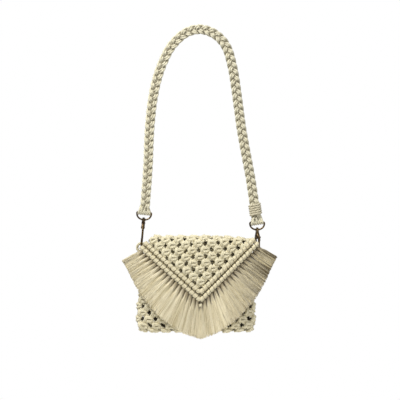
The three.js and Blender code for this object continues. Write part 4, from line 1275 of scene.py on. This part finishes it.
fringeMesh, fringeTotal = fringeGuide()
fringe = runTree("fringeLocks", fringeTree(), fringeMesh, {
    "Lock": lockObject(), "Locks": fringeSet["locks"], "Spacing": fringeTotal / fringeSet["locks"],
    "Strands": fringeSet["strands"], "Strand Radius": fringeSet["strandRadius"] * mm,
    "Fall": fringeSet["flatFall"], "Steps": fringeSet["strandSteps"], "Sides": fringeSet["sides"],
    "Seed": fringeSet["seed"], "Material": fringeCotton})
place(fringe, "bag", "cotton_fringe", "fringe")


# Side loops: a ring of cord on each side of the pouch, for the clasps

sideLoopSet = {
    "radius": 8, "steps": 32, "cordRadius": 2.5, "sides": 12,
    "left": (-112.31, 0, -408.3), "right": (110.65, 0, -427.3),
}
for side in ("left", "right"):
    name = "sideLoop" + side.capitalize()
    skin = newSkin()
    middle = Vector(sideLoopSet[side])
    line = [middle + Vector((math.cos(turn), 0, math.sin(turn))) * sideLoopSet["radius"]
            for turn in turns(sideLoopSet["steps"])]
    sweepCord(skin, line, sideLoopSet["cordRadius"], sideLoopSet["sides"], closed=True)
    loop = meshPiece(name, skinMesh(name, skin, mm), netCotton)
    place(loop, "bag", "cotton_net", "side_loop_" + side)


# Clasps: an eye for the strap, a swivel hook below it and a sprung gate, in plated brass

claspSet = {
    "left": {"boss": (-107.958, 0, -355.345), "axis": (0.087371, 0, 0.996176), "turn": 90},
    "right": {"boss": (109.682, 0, -374.397), "axis": (-0.019582, 0, 0.999808), "turn": 68},
    "merge": 1e-4, "sharpAngle": 40, "latheSteps": 28,
    # the eye
    "wire": 1.6, "wireSides": 12, "barHalf": 11.6, "loopHalf": 13.9, "loopHeight": 14.4, "corner": 2.3,
    "cornerSteps": 5, "curveSteps": 16, "curvePull": (0.35, 0.6),
    # the hook's body, with a slot for the gate
    "bodyTop": -7.0, "bodyFoot": -17.5, "bodyUnder": 0.3, "bodyHalfTop": 4, "bodyHalfFoot": 9.3,
    "bodyThick": 6.4, "bodySteps": 9, "bodySides": 28, "bodySquare": 0.55, "bodyBevel": 0.5,
    "slotBack": 4.4, "slotSize": (14, 12), "slotDrop": 3.1, "slotRoom": 0.8,
    # the hook's wire: its stem, bow and nose
    "hookRadius": 1.9, "hookSides": 12, "stem": (-13.3, -18, -24, -30, -36),
    "bowRadius": 7.4, "bowCentre": -42.2, "bowSteps": 16,
    "nose": (-39.5, -37, -35.3), "noseTip": -34.2, "noseCap": 0.4, "noseTaper": 0.93, "noseRadius": 1.4,
    # the gate
    "pivot": (6.7, -14.4), "rivetSides": 18, "gateEye": 2.5, "gateEyeSteps": 10, "gateHalf": 1.5,
    "gateThick": 3, "gateFoot": 0.9, "gateBevel": 0.45, "thumb": (11.2, -19.4, 1.7), "thumbRound": (0.3, 0.6),
    # turned parts: radius and height along the axis
    "bossProfile": [(1.9, -2.1), (2.2, -2.4), (3.3, -2.4), (3.7, -2.0), (3.8, 0), (3.7, 2.0), (3.3, 2.4),
                    (2.2, 2.4), (1.9, 2.1)],
    "pinProfile": [(0, 4.6), (1.4, 4.45), (2.3, 4.0), (2.7, 3.4), (2.7, 2.9), (2.4, 2.8), (1.5, 2.8),
                   (1.5, -2.6), (3.2, -2.8), (3.5, -3.1), (3.5, -4.3), (3.2, -4.6), (3.2, -5.0), (3.7, -5.4),
                   (3.9, -7.2), (3.0, -8.2), (0, -8.4)],
    "rivetProfile": [(0, -3.75), (1.0, -3.7), (1.6, -3.4), (1.7, -3.0), (0.9, -2.6), (0.9, 2.6), (1.7, 3.0),
                     (1.6, 3.4), (1.0, 3.7), (0, 3.75)],
}


def turned(skin, profile, middle, axis, steps=claspSet["latheSteps"], ring=False):
    # a lathe-turned part round an axis that is square to X
    across = Vector((1, 0, 0))
    third = axis.cross(across)
    rings = []
    for radius, height in profile:
        foot = middle + axis * height
        if radius:
            rings.append([addPoint(skin, foot + (across * math.cos(turn) + third * math.sin(turn)) * radius)
                          for turn in turns(steps)])
        else:
            rings.append([addPoint(skin, foot)] * steps)
    bridge(skin, rings, ring)


def plainMesh(name, skin):
    # a skin without marks, its doubles merged and its faces outward
    mesh = bpy.data.meshes.new(name)
    mesh.from_pydata(skin["points"], [], skin["faces"])
    work = bmesh.new()
    work.from_mesh(mesh)
    bmesh.ops.remove_doubles(work, verts=work.verts, dist=claspSet["merge"])
    bmesh.ops.recalc_face_normals(work, faces=work.faces)
    work.to_mesh(mesh)
    work.free()
    return mesh


def shaped(mesh, *steps):
    # runs modifiers on a mesh and gives the plain result
    piece = bpy.data.objects.new("shaping", mesh)
    scene.collection.objects.link(piece)
    for kind, settings in steps:
        modifier = piece.modifiers.new(kind, kind)
        for option, value in settings.items():
            setattr(modifier, option, value)
    result = plainResult(piece)
    bpy.data.objects.remove(piece)
    return result


def eyeMesh(s=claspSet):
    half, tall, corner = s["loopHalf"], s["loopHeight"], s["corner"]
    line = [Vector((0, 0, tall)), Vector((s["barHalf"] / 2, 0, tall))]
    for step in range(s["cornerSteps"] + 1):
        turn = math.pi / 2 * (1 - step / s["cornerSteps"])
        out, up = corner * math.cos(turn), corner * math.sin(turn)
        line.append(Vector((s["barHalf"] + out, 0, tall - corner + up)))
    high, wide = s["curvePull"]
    a, b = Vector((half, 0, tall - corner)), Vector((half, 0, tall * high))
    c, d = Vector((half * wide, 0, 0)), Vector((0, 0, 0))
    for step in range(1, s["curveSteps"] + 1):
        t = step / s["curveSteps"]
        line.append(a * (1 - t) ** 3 + b * 3 * t * (1 - t) ** 2 + c * 3 * t * t * (1 - t) + d * t ** 3)
    mirrored = [Vector((-p.x, 0, p.z)) for p in line[1:-1]][::-1]
    skin = newSkin()
    sweepCord(skin, [*line, *mirrored], s["wire"], s["wireSides"], closed=True)
    turned(skin, s["bossProfile"], Vector((0, 0, 0)), Vector((0, 0, 1)), ring=True)
    return plainMesh("eye", skin)


def hookBody(s=claspSet):
    # a flat drop that widens downwards, slotted for the gate
    skin = newSkin()
    top = s["bodyTop"] + s["bodyUnder"]
    rings = []
    for step in range(s["bodySteps"] + 1):
        down = step / s["bodySteps"]
        half = s["bodyHalfTop"] + (s["bodyHalfFoot"] - s["bodyHalfTop"]) * math.sin(down * math.pi / 2)
        z = top + (s["bodyFoot"] - s["bodyTop"] - s["bodyUnder"]) * down
        ring = []
        for turn in turns(s["bodySides"]):
            c, d = math.cos(turn), math.sin(turn)
            x = half * math.copysign(abs(c) ** s["bodySquare"], c)
            y = s["bodyThick"] / 2 * math.copysign(abs(d) ** s["bodySquare"], d)
            ring.append(addPoint(skin, Vector((x, y, z))))
        rings.append(ring)
    bridge(skin, rings)
    skin["faces"] += [tuple(rings[0]), tuple(rings[-1][::-1])]
    px, pz = s["pivot"]
    long, tall = s["slotSize"]
    room = Matrix.Translation((px - s["slotBack"] + long / 2, 0, pz - s["slotDrop"]))
    room = room @ Matrix.Diagonal((long, s["gateThick"] + s["slotRoom"], tall, 1))
    slot = bmesh.new()
    bmesh.ops.create_cube(slot, size=1, matrix=room)
    slotMesh = bpy.data.meshes.new("slot")
    slot.to_mesh(slotMesh)
    slot.free()
    cutter = bpy.data.objects.new("slot", slotMesh)
    scene.collection.objects.link(cutter)
    body = shaped(plainMesh("hookBody", skin),
                  ("BEVEL", {"width": s["bodyBevel"], "segments": 2, "limit_method": "ANGLE"}),
                  ("BOOLEAN", {"object": cutter, "operation": "DIFFERENCE"}))
    bpy.data.objects.remove(cutter)
    return body


def hookMesh(s=claspSet):
    px, pz = s["pivot"]
    bow = s["bowRadius"]
    rest = newSkin()
    turned(rest, s["pinProfile"], Vector((0, 0, 0)), Vector((0, 0, 1)))
    turned(rest, s["rivetProfile"], Vector((px, 0, pz)), Vector((0, 1, 0)), s["rivetSides"])
    line = [Vector((-bow, 0, z)) for z in s["stem"]]
    for step in range(s["bowSteps"] + 1):
        turn = math.pi * (1 + step / s["bowSteps"])
        line.append(Vector((bow * math.cos(turn), 0, s["bowCentre"] + bow * math.sin(turn))))
    line += [Vector((bow, 0, z)) for z in (*s["nose"], s["noseTip"] + s["noseCap"])]
    radii = [s["hookRadius"]] * (len(line) - 2) + [s["hookRadius"] * s["noseTaper"], s["noseRadius"]]
    sweepCord(rest, line, radii, s["hookSides"])
    return joinMeshes(hookBody(), plainMesh("hookRest", rest))


def gateMesh(s=claspSet):
    px, pz = s["pivot"]
    tx, tz, th = s["thumb"]
    edge, flank = s["thumbRound"]
    inner, outer = s["bowRadius"] - s["gateHalf"], s["bowRadius"] + s["gateHalf"]
    foot = s["noseTip"] + s["gateFoot"]
    outline = []
    for step in range(s["gateEyeSteps"] + 1):
        turn = math.pi * (1 - step / s["gateEyeSteps"])
        outline.append((px + s["gateEye"] * math.cos(turn), pz + s["gateEye"] * math.sin(turn)))
    outline += [(tx - edge, tz + th), (tx, tz + th * flank), (tx, tz - th * flank), (tx - edge, tz - th),
                (outer, tz - 2 * th), (outer, foot), (inner, foot)]
    skin = newSkin()
    near, far = [[addPoint(skin, Vector((x, y, z))) for x, z in outline]
                 for y in (-s["gateThick"] / 2, s["gateThick"] / 2)]
    skin["faces"] += [tuple(near), tuple(far[::-1])]
    bridge(skin, [near, far])
    return shaped(plainMesh("gate", skin),
                  ("BEVEL", {"width": s["gateBevel"], "segments": 3, "limit_method": "ANGLE"}))


for side in ("left", "right"):
    boss, axis = Vector(claspSet[side]["boss"]), Vector(claspSet[side]["axis"])
    hang = Matrix.Translation(boss * mm) @ Matrix.Rotation(math.atan2(axis.x, axis.z), 4, "Y")
    swivel = hang @ Matrix.Rotation(math.radians(-claspSet[side]["turn"]), 4, "Z")
    for part, mesh, matrix, body, node in (
        ("Eye", eyeMesh(), hang, "bag", "clasp_loop_"),
        ("Hook", hookMesh(), swivel, "hook_" + side, "clasp_hook_"),
        ("Gate", gateMesh(), swivel, "gate_" + side, "clasp_gate_"),
    ):
        mesh.transform(matrix @ Matrix.Scale(mm, 4))
        mesh.shade_smooth()
        mesh.set_sharp_from_angle(angle=math.radians(claspSet["sharpAngle"]))
        piece = meshPiece("clasp" + part + side.capitalize(), mesh, claspBrass)
        place(piece, body, "antique_brass", node + side)

print("bag finished")
